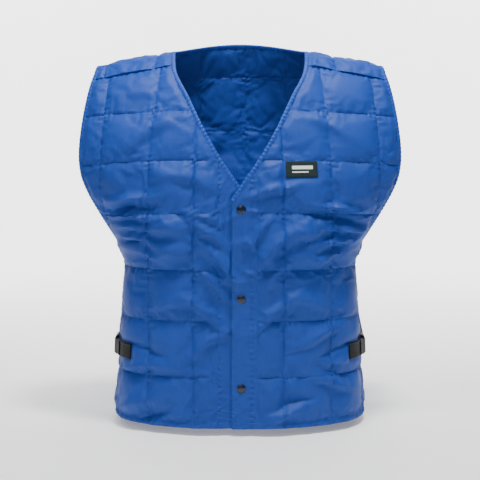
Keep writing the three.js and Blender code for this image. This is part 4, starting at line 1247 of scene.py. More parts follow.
def build_back():
    """The quilted back, from side seam to side seam and over each shoulder to the shoulder seam."""
    form, cloth, pattern = settings()
    half = form.size.half_width
    lines = [line * half for line in BACK_LINES]
    widest = form.side.max()
    neck_side = float(pattern.neck_back.s[-1])
    order = np.argsort(pattern.neck_back.s)
    neck_s = pattern.neck_back.s[order]
    neck_g = pattern.neck_back.g[order]

    def crest(s):
        s = np.abs(s)
        return np.where(s < neck_side, np.interp(s, neck_s, neck_g), 2.0)

    curves = [crest]
    for down in BACK_ROWS:
        curves.append(level_curve(form, -down * form.size.tall, form.size.side_sag, True))
    curves += [flat_curve(4 - cloth.hem_turn / form.unit), flat_curve(4)]
    stops = [-widest, *[line for line in lines if abs(line) < widest - 0.02], widest]
    stops = sorted({*stops, -neck_side, neck_side})
    places = split(stops, cloth.step)
    sewing = Sewing(form, [-widest * 1.03, *lines, widest * 1.03], curves, -widest, widest)
    shell = Shell()
    tolerance = cloth.step * 0.4
    straps = split([pattern.shoulder_seam, 2.0], cloth.step, 0.36)
    top = {}
    for side in (1, -1):
        before = None
        for g in straps:
            a = float(pattern.necks(np.array([g]))[0]) if g < 2 else neck_side
            b = float(pattern.outers(np.array([g]))[0])
            line = places * side
            inside = np.sort(line[(line > a + tolerance) & (line < b - tolerance)])
            run = np.array([a, *inside, b])
            if side < 0:
                run = -run[::-1]
            now = shell.curve(run, np.full(len(run), g), -1.0 if g < 2 else 0.0)
            if before:
                shell.strip(before, now)
            before = now
        top[side] = before
    middle = places[np.abs(places) < neck_side - 1e-9]
    before = top[-1] + shell.curve(middle, crest(middle), 0.0) + top[1]
    steps = panel_steps(sewing, 0, len(curves) - 1, cloth.step)[1:]
    lay_rows(
        shell, sewing, steps, places, lambda g: -pattern.outers(g), pattern.outers, tolerance, before
    )
    s, _ = shell.places()
    edges = [pattern.arm_back, pattern.neck_back, pattern.neck_front.part(0, 40)]
    edges += [pattern.arm_front.part(EDGE_STEPS // 2, None)]
    edges += [edge.mirrored() for edge in edges]
    outer, inner, seams = quilt(form, cloth, shell, sewing, 0, edges, np.zeros_like(s))
    mesh = skins(form, shell, outer, inner, "back", 1, {"seam": seams})
    piece = new_piece("back", mesh, "Quilted cloth", "quilted_cloth", "back_panel")
    settle(piece, seams, rim_places(shell))
    STITCH_PATHS[piece.name] = seam_paths(shell, sewing)
    return piece


def build_placket(side):
    """The strip with the snaps: the upper one on the left front, the lower one on the right."""
    form, cloth, pattern = settings()
    upper = side > 0
    hidden = 3 * MM
    turn_in = 3.2 * MM
    seam_in = 8.4 * MM
    start = -cloth.overlap if upper else -cloth.underlap
    end = cloth.placket_seam if upper else cloth.under_seam
    top = float(pattern.neck_front.g[np.argmin(np.abs(pattern.neck_front.s - end))])
    stitched = [start + turn_in, end - seam_in] if upper else [start + turn_in]
    places = split([start, *stitched, end], cloth.step * 0.6)
    places = np.concatenate([places, end + hidden * np.array([0.3, 0.6])])
    curves = [flat_curve(0), flat_curve(cloth.hem_turn / form.unit), flat_curve(top)]
    sewing = Sewing(form, [start, end], curves, start, end + hidden)
    steps = panel_steps(sewing, 0, 2, cloth.step * 0.7)
    shell = Shell()
    lay_rows(shell, sewing, steps, places, pattern.necks, flat_curve(end + hidden), MM * 0.5)
    s, g = shell.places()
    z = form.point(np.zeros_like(s), g)[:, 2]
    sink = np.zeros_like(s) if upper else lap_sink(cloth, -s)
    wall = cloth.placket_wall / 2
    edge = np.minimum(s - start, 4 * MM) / (4 * MM)
    crown = wall * (1 - 0.45 * (1 - edge) ** 2)
    spots = form.point(s, g)
    spots[:, 0] *= side
    gap = edge_distance(form, [pattern.neck_front], s, g)
    folds = creases(form, cloth, spots) * smooth(gap / FOLD_REACH)
    folds = folds + hem_flare(form, spots[:, 0], z, 2.7)
    wave = ripple(2 * math.pi * z / 0.016, 3.3)
    seam = np.abs(s - (end - seam_in)) if upper else end - s
    pucker = cloth.pucker * ripple(2 * math.pi * z / cloth.pucker_pitch, 5.1) * np.exp(-seam / (5 * MM))
    pucker += 0.5 * cloth.pucker * wave * np.exp(-((s - start) / (6 * MM)) ** 2)
    pucker -= (0.7 * MM if upper else 0.0) * np.exp(-((seam / (1.4 * MM)) ** 2))
    turned = hem_fold(cloth, z - form.hem)
    joined = (wall - cloth.seam_wall / 2) * smooth(1 - (end - s) / 0.006)
    joined = joined + 0.05 * MM + 1.5 * MM * smooth((s - end) / (1.2 * MM))
    outer = crown - sink + pucker + turned + folds - joined
    inner = np.minimum(-crown - sink + pucker - turned + folds + joined, outer - 0.4 * MM)
    name = "placket_over" if upper else "placket_under"
    mesh = skins(form, shell, outer, inner, name, side, {"seam": seam})
    title = name.replace("placket", "strip")
    piece = new_piece(title, mesh, "Plain cloth", "plain_cloth", name)
    paths = []
    for stop in stitched:
        near = places[np.abs(places - stop).argmin()]
        on = np.flatnonzero(np.abs(s - near) < 1e-7)
        paths.append(on[np.argsort(g[on])])
    on = np.flatnonzero(np.abs(np.array(shell.w) - 1) < 1e-6)
    paths.append(on[np.argsort(s[on])])
    STITCH_PATHS[piece.name] = paths
    return piece


GATHERS_AROUND = 18


def band(form, cloth, edge, sink, closed, name):
    """A gathered binding over an edge: rings of a rounded, puckered tube along the line."""
    middle = edge.moved(form, cloth.binding_width / 2)
    at, run_length = middle.spaced(form, cloth.binding_pitch / 5)
    s, g = middle.sample(at)
    if closed:
        s = s[:-1]
        g = g[:-1]
    base = form.point(s, g)
    _, _, normal = form.directions(s, g)
    if closed:
        tangent = np.roll(base, -1, axis=0) - np.roll(base, 1, axis=0)
    else:
        tangent = np.gradient(base, axis=0)
    tangent /= np.linalg.norm(tangent, axis=1, keepdims=True)
    inward = np.cross(normal, tangent)
    inward /= np.linalg.norm(inward, axis=1, keepdims=True)
    run = np.arange(len(s)) * (run_length / len(s))
    phase = 2 * math.pi * run / cloth.binding_pitch + 0.9 * ripple(run / 0.017, 2.2)
    uneven = 1 + 0.08 * ripple(run / 0.011, 4.4)
    rings = []
    for k in range(GATHERS_AROUND):
        turn = 2 * math.pi * k / GATHERS_AROUND
        c = math.copysign(abs(math.cos(turn)) ** 0.8, math.cos(turn))
        q = math.copysign(abs(math.sin(turn)) ** 0.8, math.sin(turn))
        lift = np.cos(phase + 0.6 * math.cos(turn))
        wide = cloth.binding_width / 2 * 1.02 * (1 + 0.05 * lift) * c
        tall = cloth.binding_wall / 2 * (0.94 + 0.2 * lift) * uneven * q
        rings.append(base + inward * wide[:, None] + normal * (tall - sink(s, g))[:, None])
    points = np.stack(rings, axis=1)
    thread = points[:, 2] + normal * 0.05 * MM
    if closed:
        thread = np.concatenate([thread, thread[:1]])
    STITCH_LINES[name] = StitchLine([thread], "Thread", "binding_cloth")
    return points, run


def tube_mesh(name, points, closed):
    """Joins rings of points into a tube, with caps where it isn't closed to a loop."""
    count, around, _ = points.shape
    vertices = points.reshape(-1, 3)
    faces = []
    last = count if closed else count - 1
    for i in range(last):
        j = (i + 1) % count
        for k in range(around):
            m = (k + 1) % around
            faces.append((i * around + k, i * around + m, j * around + m, j * around + k))
    if not closed:
        faces.append(tuple(reversed(range(around))))
        faces.append(tuple(range((count - 1) * around, count * around)))
    mesh = bpy.data.meshes.new(name)
    mesh.from_pydata(vertices.tolist(), [], faces)
    made = bmesh.new()
    made.from_mesh(mesh)
    bmesh.ops.recalc_face_normals(made, faces=made.faces)
    made.to_mesh(mesh)
    made.free()
    mesh.shade_smooth()
    return mesh


def neck_line(pattern):
    """The whole neckline, from the lower placket's corner over the back to the upper placket's."""
    line = pattern.neckline
    return Edge(np.concatenate([-line.s[::-1], line.s[1:]]), np.concatenate([line.g[::-1], line.g[1:]]))


def build_neck_binding():
    """The gathered band along the neckline."""
    form, cloth, pattern = settings()

    def sink(s, g):
        lower = (np.arange(len(s)) < len(s) / 2) & (g < 2)
        return np.where(lower, lap_sink(cloth, s), 0)

    points, run = band(form, cloth, neck_line(pattern), sink, False, "neck")
    mesh = tube_mesh("neck_edge", points, False)
    piece = new_piece("neck_edge", mesh, "Binding cloth", "binding_cloth", "neck_binding")
    return piece


def build_armhole_binding(side):
    """The gathered band along an armhole."""
    form, cloth, pattern = settings()
    name = "left" if side > 0 else "right"
    level = flat_curve(0)
    points, run = band(form, cloth, pattern.armhole, lambda s, g: level(s), True, f"armhole_{name}")
    points[:, :, 0] *= side
    for path in STITCH_LINES[f"armhole_{name}"].paths:
        path[:, 0] *= side
    title = f"armhole_edge_{name}"
    mesh = tube_mesh(title, points, True)
    piece = new_piece(title, mesh, "Binding cloth", "binding_cloth", f"armhole_binding_{name}")
    return piece


def skin_tree(name):
    """A tree for ray casts on a piece's mesh."""
    mesh = bpy.data.objects[name].data
    return BVHTree.FromPolygons([v.co for v in mesh.vertices], [p.vertices for p in mesh.polygons])


def cloth_height(form, name, s, g):
    """How high a panel's outer skin stands above the form, at places on the chart."""
    tree = skin_tree(name)
    base = form.point(s, g)
    _, _, normal = form.directions(s, g)
    high = 0.03
    rises = []
    for spot, way in zip(base, normal):
        hit = tree.ray_cast(Vector(spot + way * high), Vector(-way), 2 * high)
        rises.append(high - hit[3] if hit[0] is not None else 0.0)
    return np.array(rises)


def lathe(profile, centre, normal, segments=40):
    """Turns a profile of (radius, height) pairs about a normal."""
    normal = Vector(normal).normalized()
    aside = normal.cross(Vector((0, 0, 1))).normalized()
    up = normal.cross(aside)
    points = []
    for radius, height in profile:
        for k in range(segments):
            a = 2 * math.pi * k / segments
            way = aside * math.cos(a) + up * math.sin(a)
            points.append(Vector(centre) + normal * height + way * radius)
    faces = []
    for i in range(len(profile) - 1):
        for k in range(segments):
            m = (k + 1) % segments
            low = i * segments
            high = low + segments
            faces.append((low + k, low + m, high + m, high + k))
    faces.append(tuple(reversed(range(segments))))
    faces.append(tuple((len(profile) - 1) * segments + k for k in range(segments)))
    mesh = bpy.data.meshes.new("turned")
    mesh.from_pydata(points, [], faces)
    made = bmesh.new()
    made.from_mesh(mesh)
    bmesh.ops.recalc_face_normals(made, faces=made.faces)
    made.to_mesh(mesh)
    made.free()
    mesh.shade_smooth()
    return mesh


# The cap's radii and heights, from its rim up to its crown, in mm.
CAP_PROFILE = (
    (7.2, 0.0), (7.5, 0.25), (7.5, 0.75), (7.3, 1.0), (6.85, 1.1), (6.55, 0.98), (6.4, 0.95),
    (6.1, 1.25), (5.2, 1.72), (4.0, 2.02), (2.6, 2.2), (1.2, 2.28), (0.3, 2.3),
)
SNAP_ASIDE = 2 * MM


def build_snap(number):
    """A snap cap, seated on the upper placket."""
    form, cloth, _ = settings()
    low, high = (Vector(corner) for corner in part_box(f"snap_cap_{number}"))
    s = np.array([SNAP_ASIDE])
    g = np.array([float(form.level_at((low.z + high.z) / 2, SNAP_ASIDE, False))])
    base = Vector(form.point(s, g)[0])
    normal = Vector(form.directions(s, g)[2][0])
    ray = skin_tree("strip_over").ray_cast(base + normal * 0.05, -normal)
    centre = base + normal * (cloth.placket_wall / 2 + 0.1 * MM)
    if ray[0] is not None:
        centre = ray[0] - normal * 0.15 * MM
    profile = [(r * MM, h * MM) for r, h in CAP_PROFILE]
    mesh = lathe(profile, centre, normal)
    piece = new_piece(f"cap_{number}", mesh, "Snap metal", "snap_metal", f"snap_cap_{number}")
    return piece


LABEL_COLUMNS = 54
LABEL_ROWS = 25


def build_label():
    """The woven label, laid level on the cloth of the left front, with a stitched border."""
    form, _, _ = settings()
    shape = (LABEL_ROWS, LABEL_COLUMNS)
    along = np.linspace(LABEL_START * MM, (LABEL_START + LABEL_WIDTH) * MM, LABEL_COLUMNS)
    low = level_curve(form, (LABEL_TOP - LABEL_HEIGHT) * MM, 0, False)(along)
    high = level_curve(form, LABEL_TOP * MM, 0, False)(along)
    shell = Shell()
    share = []
    before = None
    for i in range(LABEL_ROWS):
        up = i / (LABEL_ROWS - 1)
        now = shell.curve(along, low + (high - low) * i / (LABEL_ROWS - 1), 0.0)
        share.extend((k / (LABEL_COLUMNS - 1), up) for k in range(LABEL_COLUMNS))
        if before:
            shell.strip(before, now)
        before = now
    s, g = shell.places()
    u, v = np.array(share).T
    rim = np.minimum(np.minimum(u, 1 - u) * LABEL_WIDTH, np.minimum(v, 1 - v) * LABEL_HEIGHT)
    rise = 0.35 * MM * smooth(rim / 1.5)
    wave = 0.2 * MM * ripple(s / 0.006, 1.0) * np.exp(-rim / 5)
    base = cloth_height(form, "front_left", s, g).reshape(shape)
    spread = base.copy()
    for _ in range(60):
        wide = np.pad(spread, 1, mode="edge")
        spread = (wide[:-2, 1:-1] + wide[2:, 1:-1] + wide[1:-1, :-2] + wide[1:-1, 2:]) / 4
    base = (spread + max(0, float((base - spread).max())) * 0.7 + 0.5 * MM).ravel()
    outer = base + rise + 0.3 * MM + wave
    mesh = skins(form, shell, outer, base - 0.5 * MM + wave, "label", 1, {"u": u, "v": v})
    piece = new_piece("label", mesh, "Label", "label_weave", "label_patch")
    skin = mesh.vertices[: LABEL_ROWS * LABEL_COLUMNS]
    grid = np.array([v.co for v in skin]).reshape(*shape, 3)
    grid = grid + np.array([v.normal for v in skin]).reshape(*shape, 3) * 0.1 * MM
    border = [grid[2, 2:-2], grid[-3, 2:-2], grid[2:-2, 2], grid[2:-2, -3]]
    STITCH_LINES["label"] = StitchLine(border, "Label", "label_weave")
    return piece


# The straps beside a side seam, in mm: reach from it to the back, height over the form, and rise.
WEB_WIDTH = 25.0
WEB_STEP = 1.4
WEB_LANES = 23
WEB_WALL = 1.5
WEB_LOW = 4.75
WEB_HIGH = 9.85
STRAP_DOWN = 480.0
HALF_BUCKLE = 14.0
TAIL_REACH = 62.0
TAIL_RISE = {"left": 44.0, "right": 4.0}
TAIL_DROP = {"left": 5.0, "right": 12.0}
Station = namedtuple("Station", "reach height rise flat")


def sewn_run(reach):
    """The flat run of a strap from its sewn end to the buckle."""
    end = math.copysign(HALF_BUCKLE + 6, reach)
    return [Station(reach + (end - reach) * t, WEB_LOW, 0, 0) for t in (0, 0.15, 0.3, 0.45, 0.6, 0.8, 1)]


def round_bar(face, way):
    """A strap's turn round a bar of the buckle."""
    turn = 0.3 + WEB_WALL / 2 + 0.2
    middle = (WEB_LOW + WEB_HIGH) / 2
    return [
        Station(face - way * 0.4, WEB_LOW, 0, 1),
        Station(face + way * (turn - 0.2), WEB_LOW + 0.9, 0, 1),
        Station(face + way * turn, middle, 0, 1),
        Station(face + way * (turn - 0.2), WEB_HIGH - 0.9, 0, 1),
        Station(face - way * 0.4, WEB_HIGH, 0, 1),
    ]


def strap_path(kind, name):
    """The stations of a strap, from its sewn end to its loose one."""
    if kind == "front":
        path = [*sewn_run(-74.0), *round_bar(-11.0, 1)]
        path.append(Station(-HALF_BUCKLE - 1, WEB_HIGH, 0, 1))
        path.append(Station(-HALF_BUCKLE - 7, WEB_HIGH - 1, 0, 0))
        path.append(Station(-HALF_BUCKLE - 13, WEB_LOW + 2.4, 0, 0))
        path.append(Station(-HALF_BUCKLE - 24, WEB_LOW + WEB_WALL + 0.3, 0, 0))
        return path
    path = [*sewn_run(92.0), *round_bar(1.5, -1)]
    for t in (0, 0.2, 0.4, 0.6, 0.8, 1):
        reach = HALF_BUCKLE + (TAIL_REACH - HALF_BUCKLE) * t
        path.append(Station(reach, WEB_HIGH - TAIL_DROP[name] * t * t, TAIL_RISE[name] * t * t, 1))
    return path


def beside_seam(form, side, reach, z, height):
    """Points beside a side seam, from arrays of reach, z and height in millimetres."""
    reach, z, height = np.broadcast_arrays(*(np.asarray(v, float) for v in (reach, z, height)))
    back = form.level_at(z * MM, form.size.half_width, True)
    g = np.where(reach > 0, back, form.level_at(z * MM, form.size.half_width, False))
    s = form.side_at(g) - np.abs(reach) * MM
    _, _, normal = form.directions(s, g)
    spots = form.point(s, g) + normal * (height * MM)[..., None]
    spots[..., 0] *= side
    return spots


def seam_frame(form, side):
    """The buckle's seat on a side seam, with its upward and outward directions."""
    above, below = beside_seam(form, side, [0, 0], [32 - STRAP_DOWN, -32 - STRAP_DOWN], 0)
    up = (above - below) / np.linalg.norm(above - below)
    out = np.cross([0, side, 0], up)
    return (above + below) / 2, up, out


def build_strap(kind, name):
    """A strap of webbing, with rounded edges and a little play in the cloth it is woven of."""
    form, _, _ = settings()
    side = 1 if name == "left" else -1
    seat, up, out = seam_frame(form, side)
    path = strap_path(kind, name)
    runs = [0.0]
    for a, b in zip(path, path[1:]):
        runs.append(runs[-1] + math.hypot(b.reach - a.reach, b.height - a.height))
    whole = runs[-1]
    count = int(whole / WEB_STEP)
    at = np.linspace(0, whole, count)
    reach = np.interp(at, runs, [p.reach for p in path])
    height = np.interp(at, runs, [p.height for p in path])
    rise = np.interp(at, runs, [p.rise for p in path])
    flat = np.interp(at, runs, [p.flat for p in path])
    blur = np.array([0.25, 0.5, 0.25])
    for values in (reach, height, rise):
        values[1:-1] = np.convolve(values, blur, "valid")
    tilt = np.stack([-np.gradient(height), np.gradient(reach)], axis=1)
    tilt /= np.linalg.norm(tilt, axis=1, keepdims=True)
    lanes = np.linspace(-1, 1, WEB_LANES)
    lanes = np.concatenate([lanes, lanes[::-1]])
    signs = np.repeat([1.0, -1.0], WEB_LANES)
    edge = np.clip((np.abs(lanes) - 0.93) / 0.07, 0, 1)
    ribs = 0.12 * np.cos(lanes * 5 * math.pi) * (1 - edge)
    wall = (WEB_WALL / 2 * (1 - 0.75 * edge * edge) + ribs) * signs
    high = rise[:, None] + lanes * WEB_WIDTH / 2
    along = reach[:, None] + tilt[:, :1] * wall
    off = height[:, None] + tilt[:, 1:] * wall
    curved = beside_seam(form, side, along, high - STRAP_DOWN, off)
    straight = seat + np.array([0, 1, 0]) * along[..., None] * MM
    straight = straight + up * high[..., None] * MM + out * off[..., None] * MM
    rings = straight * flat[:, None, None] + curved * (1 - flat[:, None, None])
    title = f"webbing_{kind}_{name}"
    face = rings[:, :WEB_LANES]
    skin = face + (face - rings[:, ::-1][:, :WEB_LANES]) * 0.12
    box = [skin[1:14, 2], skin[1:14, 20], skin[1, 2:21], skin[13, 2:21]]
    box.append(np.array([skin[1 + i, 2 + round(i * 1.5)] for i in range(13)]))
    box.append(np.array([skin[1 + i, 20 - round(i * 1.5)] for i in range(13)]))
    STITCH_LINES[title] = StitchLine(box, "Thread dark", "webbing")
    mesh = tube_mesh(title, rings, False)
    u = np.tile(lanes * WEB_WIDTH / 2, count)
    v = np.repeat(at, len(lanes))
    for key, values in (("u", u), ("v", v)):
        layer = mesh.attributes.new(key, "FLOAT", "POINT")
        layer.data.foreach_set("value", values.astype(np.float32))
    piece = new_piece(title, mesh, "Webbing", "webbing", f"strap_{kind}_{name}")
    return piece


def build_buckle(name):
    """The ladder buckle, with its edges rounded."""
    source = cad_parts[f"buckle_{name}"]
    mesh = source.data.copy()
    mesh.name = f"buckle_{name}_round"
    made = bmesh.new()
    made.from_mesh(mesh)
    bmesh.ops.remove_doubles(made, verts=made.verts, dist=1e-6)
    bmesh.ops.dissolve_limit(made, angle_limit=0.02, verts=made.verts, edges=made.edges)
    sharp = [edge for edge in made.edges if edge.is_manifold and edge.calc_face_angle(0) > 0.3]
    bmesh.ops.bevel(made, geom=sharp, offset=0.55 * MM, segments=3, profile=0.6, affect="EDGES")
    bmesh.ops.triangulate(made, faces=made.faces)
    made.to_mesh(mesh)
    made.free()
    mesh.shade_smooth()
    piece = new_piece(f"ladder_{name}", mesh, "Buckle plastic", "buckle_plastic", f"buckle_{name}")
    return piece


def stitch_tree():
    """Geometry nodes that lay stitches of thread along paths."""
    tree = bpy.data.node_groups.new("Stitches", "GeometryNodeTree")
    tree.is_modifier = True
    tree.interface.new_socket("Geometry", in_out="INPUT", socket_type="NodeSocketGeometry")
    for name, kind in (
        ("Stitch length", "NodeSocketFloat"),
        ("Thread", "NodeSocketFloat"),
        ("Seed", "NodeSocketInt"),
        ("Material", "NodeSocketMaterial"),
    ):
        tree.interface.new_socket(name, in_out="INPUT", socket_type=kind)
    tree.interface.new_socket("Geometry", in_out="OUTPUT", socket_type="NodeSocketGeometry")
    nodes = tree.nodes
    link = tree.links.new
    entry = nodes.new("NodeGroupInput")
    leave = nodes.new("NodeGroupOutput")
    curve = nodes.new("GeometryNodeMeshToCurve")
    link(entry.outputs["Geometry"], curve.inputs["Mesh"])
    resample = nodes.new("GeometryNodeResampleCurve")
    resample.mode = "LENGTH"
    link(curve.outputs["Curve"], resample.inputs["Curve"])
    link(entry.outputs["Stitch length"], resample.inputs["Length"])
    ball = nodes.new("GeometryNodeMeshUVSphere")
    ball.inputs["Segments"].default_value = 6
    ball.inputs["Rings"].default_value = 4
    ball.inputs["Radius"].default_value = 1.0
    size = nodes.new("ShaderNodeCombineXYZ")
    thick = math_node(tree, "MULTIPLY", entry.outputs["Thread"], 0.5)
    link(thick, size.inputs[0])
    link(thick, size.inputs[1])
    link(math_node(tree, "MULTIPLY", entry.outputs["Stitch length"], 0.37), size.inputs[2])
    shape = nodes.new("GeometryNodeTransform")
    link(ball.outputs["Mesh"], shape.inputs["Geometry"])
    link(size.outputs[0], shape.inputs["Scale"])
    tangent = nodes.new("GeometryNodeInputTangent")
    turn = nodes.new("FunctionNodeAlignRotationToVector")
    turn.axis = "Z"
    link(tangent.outputs[0], turn.inputs["Vector"])
    vary = nodes.new("FunctionNodeRandomValue")
    vary.data_type = "FLOAT"
    vary.inputs[2].default_value = 0.85
    vary.inputs[3].default_value = 1.1
    link(entry.outputs["Seed"], vary.inputs["Seed"])
    place = nodes.new("GeometryNodeInstanceOnPoints")
    link(resample.outputs["Curve"], place.inputs["Points"])
    link(shape.outputs["Geometry"], place.inputs["Instance"])
    link(turn.outputs["Rotation"], place.inputs["Rotation"])
    link(vary.outputs[1], place.inputs["Scale"])
    real = nodes.new("GeometryNodeRealizeInstances")
    link(place.outputs["Instances"], real.inputs["Geometry"])
    paint = nodes.new("GeometryNodeSetMaterial")
    link(real.outputs["Geometry"], paint.inputs["Geometry"])
    link(entry.outputs["Material"], paint.inputs["Material"])
    link(paint.outputs["Geometry"], leave.inputs["Geometry"])
    return tree


def sew(name, paths, seed, material="Thread"):
    """Lays stitches along paths of points and makes them one piece."""
    cloth = bpy.context.scene.vest_cloth
    points = np.concatenate(paths)
    edges = []
    start = 0
    for path in paths:
        edges += [(start + i, start + i + 1) for i in range(len(path) - 1)]
        start += len(path)
    mesh = bpy.data.meshes.new(name)
    mesh.from_pydata(points.tolist(), edges, [])
    line = bpy.data.objects.new(name, mesh)
    bpy.context.scene.collection.objects.link(line)
    tree = bpy.data.node_groups.get("Stitches") or stitch_tree()
    modifier = line.modifiers.new("Stitches", "NODES")
    modifier.node_group = tree
    values = {
        "Stitch length": cloth.stitch,
        "Thread": cloth.thread,
        "Seed": seed,
        "Material": bpy.data.materials[material],
    }
    for item in tree.interface.items_tree:
        if item.in_out == "INPUT" and item.name in values:
            modifier[item.identifier] = values[item.name]
    line.update_tag()
    bpy.context.view_layer.update()
    shaped = line.evaluated_get(bpy.context.evaluated_depsgraph_get())
    made = bpy.data.meshes.new_from_object(shaped)
    made.name = name
    line.modifiers.remove(modifier)
    line.data = made
    made.shade_smooth()
    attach(line, "root")
    return line


def outer_path(piece, places, lift):
    """Points over the outer skin of a panel, along some of its vertices."""
    mesh = piece.data
    return np.array([mesh.vertices[i].co + mesh.vertices[i].normal * lift for i in places])


# The backdrop: where its floor starts to bend up, and the radius of the bend, in metres.
WALL_START = 2.6
WALL_BEND = 0.9

# The pieces and the stage as operators


class MakeMaterials(bpy.types.Operator):
    """Make the cloth, metal, plastic and label materials"""

    bl_idname = "vest.materials"
    bl_label = "Materials"

    def execute(self, context):
        colours = context.scene.vest_colours
        cloth_material("Quilted cloth", colours.cloth)
        cloth_material("Plain cloth", colours.cloth)
        cloth_material("Binding cloth", [c * 1.12 for c in colours.cloth], rough=0.48)
        webbing_material("Webbing", colours.webbing)
        cloth_material("Thread", colours.thread, thread=0.3, rough=0.5)
        cloth_material("Thread dark", [c * 6 for c in colours.webbing], thread=0.3, rough=0.5)
        metal_material("Snap metal", colours.snap)
        plastic_material("Buckle plastic", colours.plastic)
        label_material("Label", colours.label, colours.label_mark)
        return {"FINISHED"}


class MakePanels(bpy.types.Operator):
    """Sew the quilted fronts and back"""

    bl_idname = "vest.panels"
    bl_label = "Panels"

    def execute(self, context):
        build_front(1)
        build_front(-1)
        build_back()
        return {"FINISHED"}


class MakePlackets(bpy.types.Operator):
    """Sew the two strips of the front closure"""

    bl_idname = "vest.plackets"
    bl_label = "Plackets"

    def execute(self, context):
        build_placket(1)
        build_placket(-1)
        return {"FINISHED"}


class MakeBindings(bpy.types.Operator):
    """Bind the neckline and the armholes"""

    bl_idname = "vest.bindings"
    bl_label = "Bindings"

    def execute(self, context):
        build_neck_binding()
        build_armhole_binding(1)
        build_armhole_binding(-1)
        return {"FINISHED"}


class MakeTrim(bpy.types.Operator):
    """Add the snaps and the label"""

    bl_idname = "vest.trim"
    bl_label = "Trim"

    def execute(self, context):
        for number in (1, 2, 3):
            build_snap(number)
        build_label()
        for name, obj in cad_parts.items():
            if name.startswith("snap_stud"):
                obj.data.materials.clear()
                obj.data.materials.append(bpy.data.materials["Snap metal"])
        return {"FINISHED"}


class MakeStraps(bpy.types.Operator):
    """Add the cinch straps and their buckles"""

    bl_idname = "vest.straps"
    bl_label = "Straps"

    def execute(self, context):
        for name in ("left", "right"):
            build_buckle(name)
            build_strap("front", name)
            build_strap("back", name)
        return {"FINISHED"}


class MakeStitches(bpy.types.Operator):
    """Stitch the seams, the hem, the bindings, the label and the ends of the straps"""

    bl_idname = "vest.stitches"
    bl_label = "Stitches"

    def execute(self, context):
        for seed, (name, paths) in enumerate(STITCH_PATHS.items()):
            piece = bpy.data.objects[name]
            lift = context.scene.vest_cloth.thread * 0.3
            sew(f"stitches_{name}", [outer_path(piece, path, lift) for path in paths], seed)
        for seed, (name, line) in enumerate(STITCH_LINES.items(), 20):
            sew(f"stitches_{name}", line.paths, seed, line.material)
        return {"FINISHED"}


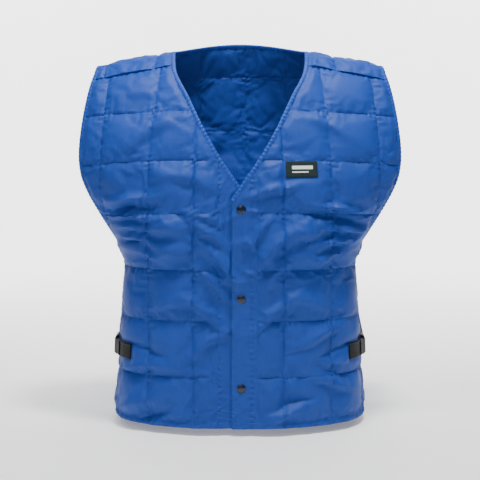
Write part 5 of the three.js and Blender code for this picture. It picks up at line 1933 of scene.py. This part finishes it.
class MakeStage(bpy.types.Operator):
    """Set the camera, the lights, the floor and the backdrop"""

    bl_idname = "vest.stage"
    bl_label = "Stage"

    def execute(self, context):
        stage = context.scene.vest_stage
        target = Vector((0, 0, stage.target))
        offset = Vector((0, -math.cos(stage.elevation), math.sin(stage.elevation))) * stage.distance
        data = bpy.data.cameras.new("Camera")
        data.lens = stage.lens
        data.sensor_width = 36
        data.shift_y = -3 / 480
        camera = bpy.data.objects.new("Camera", data)
        camera.location = target + offset
        camera.rotation_euler = (-offset).to_track_quat("-Z", "Y").to_euler()
        context.scene.collection.objects.link(camera)
        context.scene.camera = camera
        for name, spot, aim, size, power in (
            ("Key", (0.2, -0.52, 1.5), (0, 0, -0.2), 0.3, stage.key),
            ("Fill", (-0.5, -2.4, 1.3), (0, 0, -0.3), 0.8, stage.fill * 2),
            ("Top", (0.3, 0.3, 1.9), (0, 0, -0.3), 1.0, stage.fill),
            ("Chest", (-0.2, -0.45, 0.8), (0, 0.05, -0.2), 0.3, stage.fill),
            ("Wall left", (-1.7, 1.5, 1.2), (-0.6, 3.5, 0.2), 1.4, stage.wall),
            ("Wall right", (1.7, 1.5, 1.2), (0.6, 3.5, 0.2), 1.4, stage.wall),
        ):
            light = bpy.data.lights.new(name, "AREA")
            light.size = size
            light.energy = power
            lamp = bpy.data.objects.new(name, light)
            lamp.location = Vector(spot)
            lamp.rotation_euler = (Vector(aim) - lamp.location).to_track_quat("-Z", "Y").to_euler()
            context.scene.collection.objects.link(lamp)
        floor = context.scene.vest_form.tall + 0.012
        profile = [(-5.0, -floor), (WALL_START, -floor)]
        for a in np.linspace(0.1, 1.57, 14):
            y = WALL_START + math.sin(a) * WALL_BEND
            profile.append((y, -floor + WALL_BEND - math.cos(a) * WALL_BEND))
        profile.append((WALL_START + WALL_BEND, 5.0))
        points = [(x, y, z) for y, z in profile for x in (-7, 7)]
        faces = [(2 * i, 2 * i + 1, 2 * i + 3, 2 * i + 2) for i in range(len(profile) - 1)]
        mesh = bpy.data.meshes.new("Backdrop")
        mesh.from_pydata(points, [], faces)
        mesh.shade_smooth()
        backdrop = bpy.data.objects.new("Backdrop", mesh)
        material, _, shader, _ = new_material("Backdrop")
        shader.inputs["Base Color"].default_value = (*stage.floor, 1)
        shader.inputs["Roughness"].default_value = 0.9
        shader.inputs["Emission Color"].default_value = (1, 1, 1, 1)
        shader.inputs["Emission Strength"].default_value = 0.25
        mesh.materials.append(material)
        context.scene.collection.objects.link(backdrop)
        world = bpy.data.worlds.new("World")
        world.use_nodes = True
        world.node_tree.nodes["Background"].inputs[0].default_value = (1, 1, 1, 1)
        world.node_tree.nodes["Background"].inputs[1].default_value = 0.1
        context.scene.world = world
        return {"FINISHED"}


class VestPanel(bpy.types.Panel):
    """Sizes, colours and buttons for the vest"""

    bl_idname = "VEST_PT_main"
    bl_label = "Quilted vest"
    bl_space_type = "VIEW_3D"
    bl_region_type = "UI"
    bl_category = "Vest"

    def draw(self, context):
        for title, kind in GROUPS.items():
            box = self.layout.box()
            for name in kind.__annotations__:
                box.prop(getattr(context.scene, title), name)
        for kind in OPERATORS:
            self.layout.operator(kind.bl_idname)


OPERATORS = (
    MakeMaterials,
    MakePanels,
    MakePlackets,
    MakeBindings,
    MakeTrim,
    MakeStraps,
    MakeStitches,
    MakeStage,
)
GROUPS = {
    "vest_form": VestForm,
    "vest_cloth": VestCloth,
    "vest_colours": VestColours,
    "vest_stage": VestStage,
}


def register():
    for kind in (*GROUPS.values(), *OPERATORS, VestPanel):
        bpy.utils.register_class(kind)
    for name, group in GROUPS.items():
        setattr(bpy.types.Scene, name, PointerProperty(type=group))


def unregister():
    for name in GROUPS:
        delattr(bpy.types.Scene, name)
    for kind in reversed((*GROUPS.values(), *OPERATORS, VestPanel)):
        bpy.utils.unregister_class(kind)


def main():
    """Builds all pieces and the stage."""
    register()
    for kind in OPERATORS:
        group, name = kind.bl_idname.split(".")
        getattr(getattr(bpy.ops, group), name)()


if __name__ == "__main__":
    main()
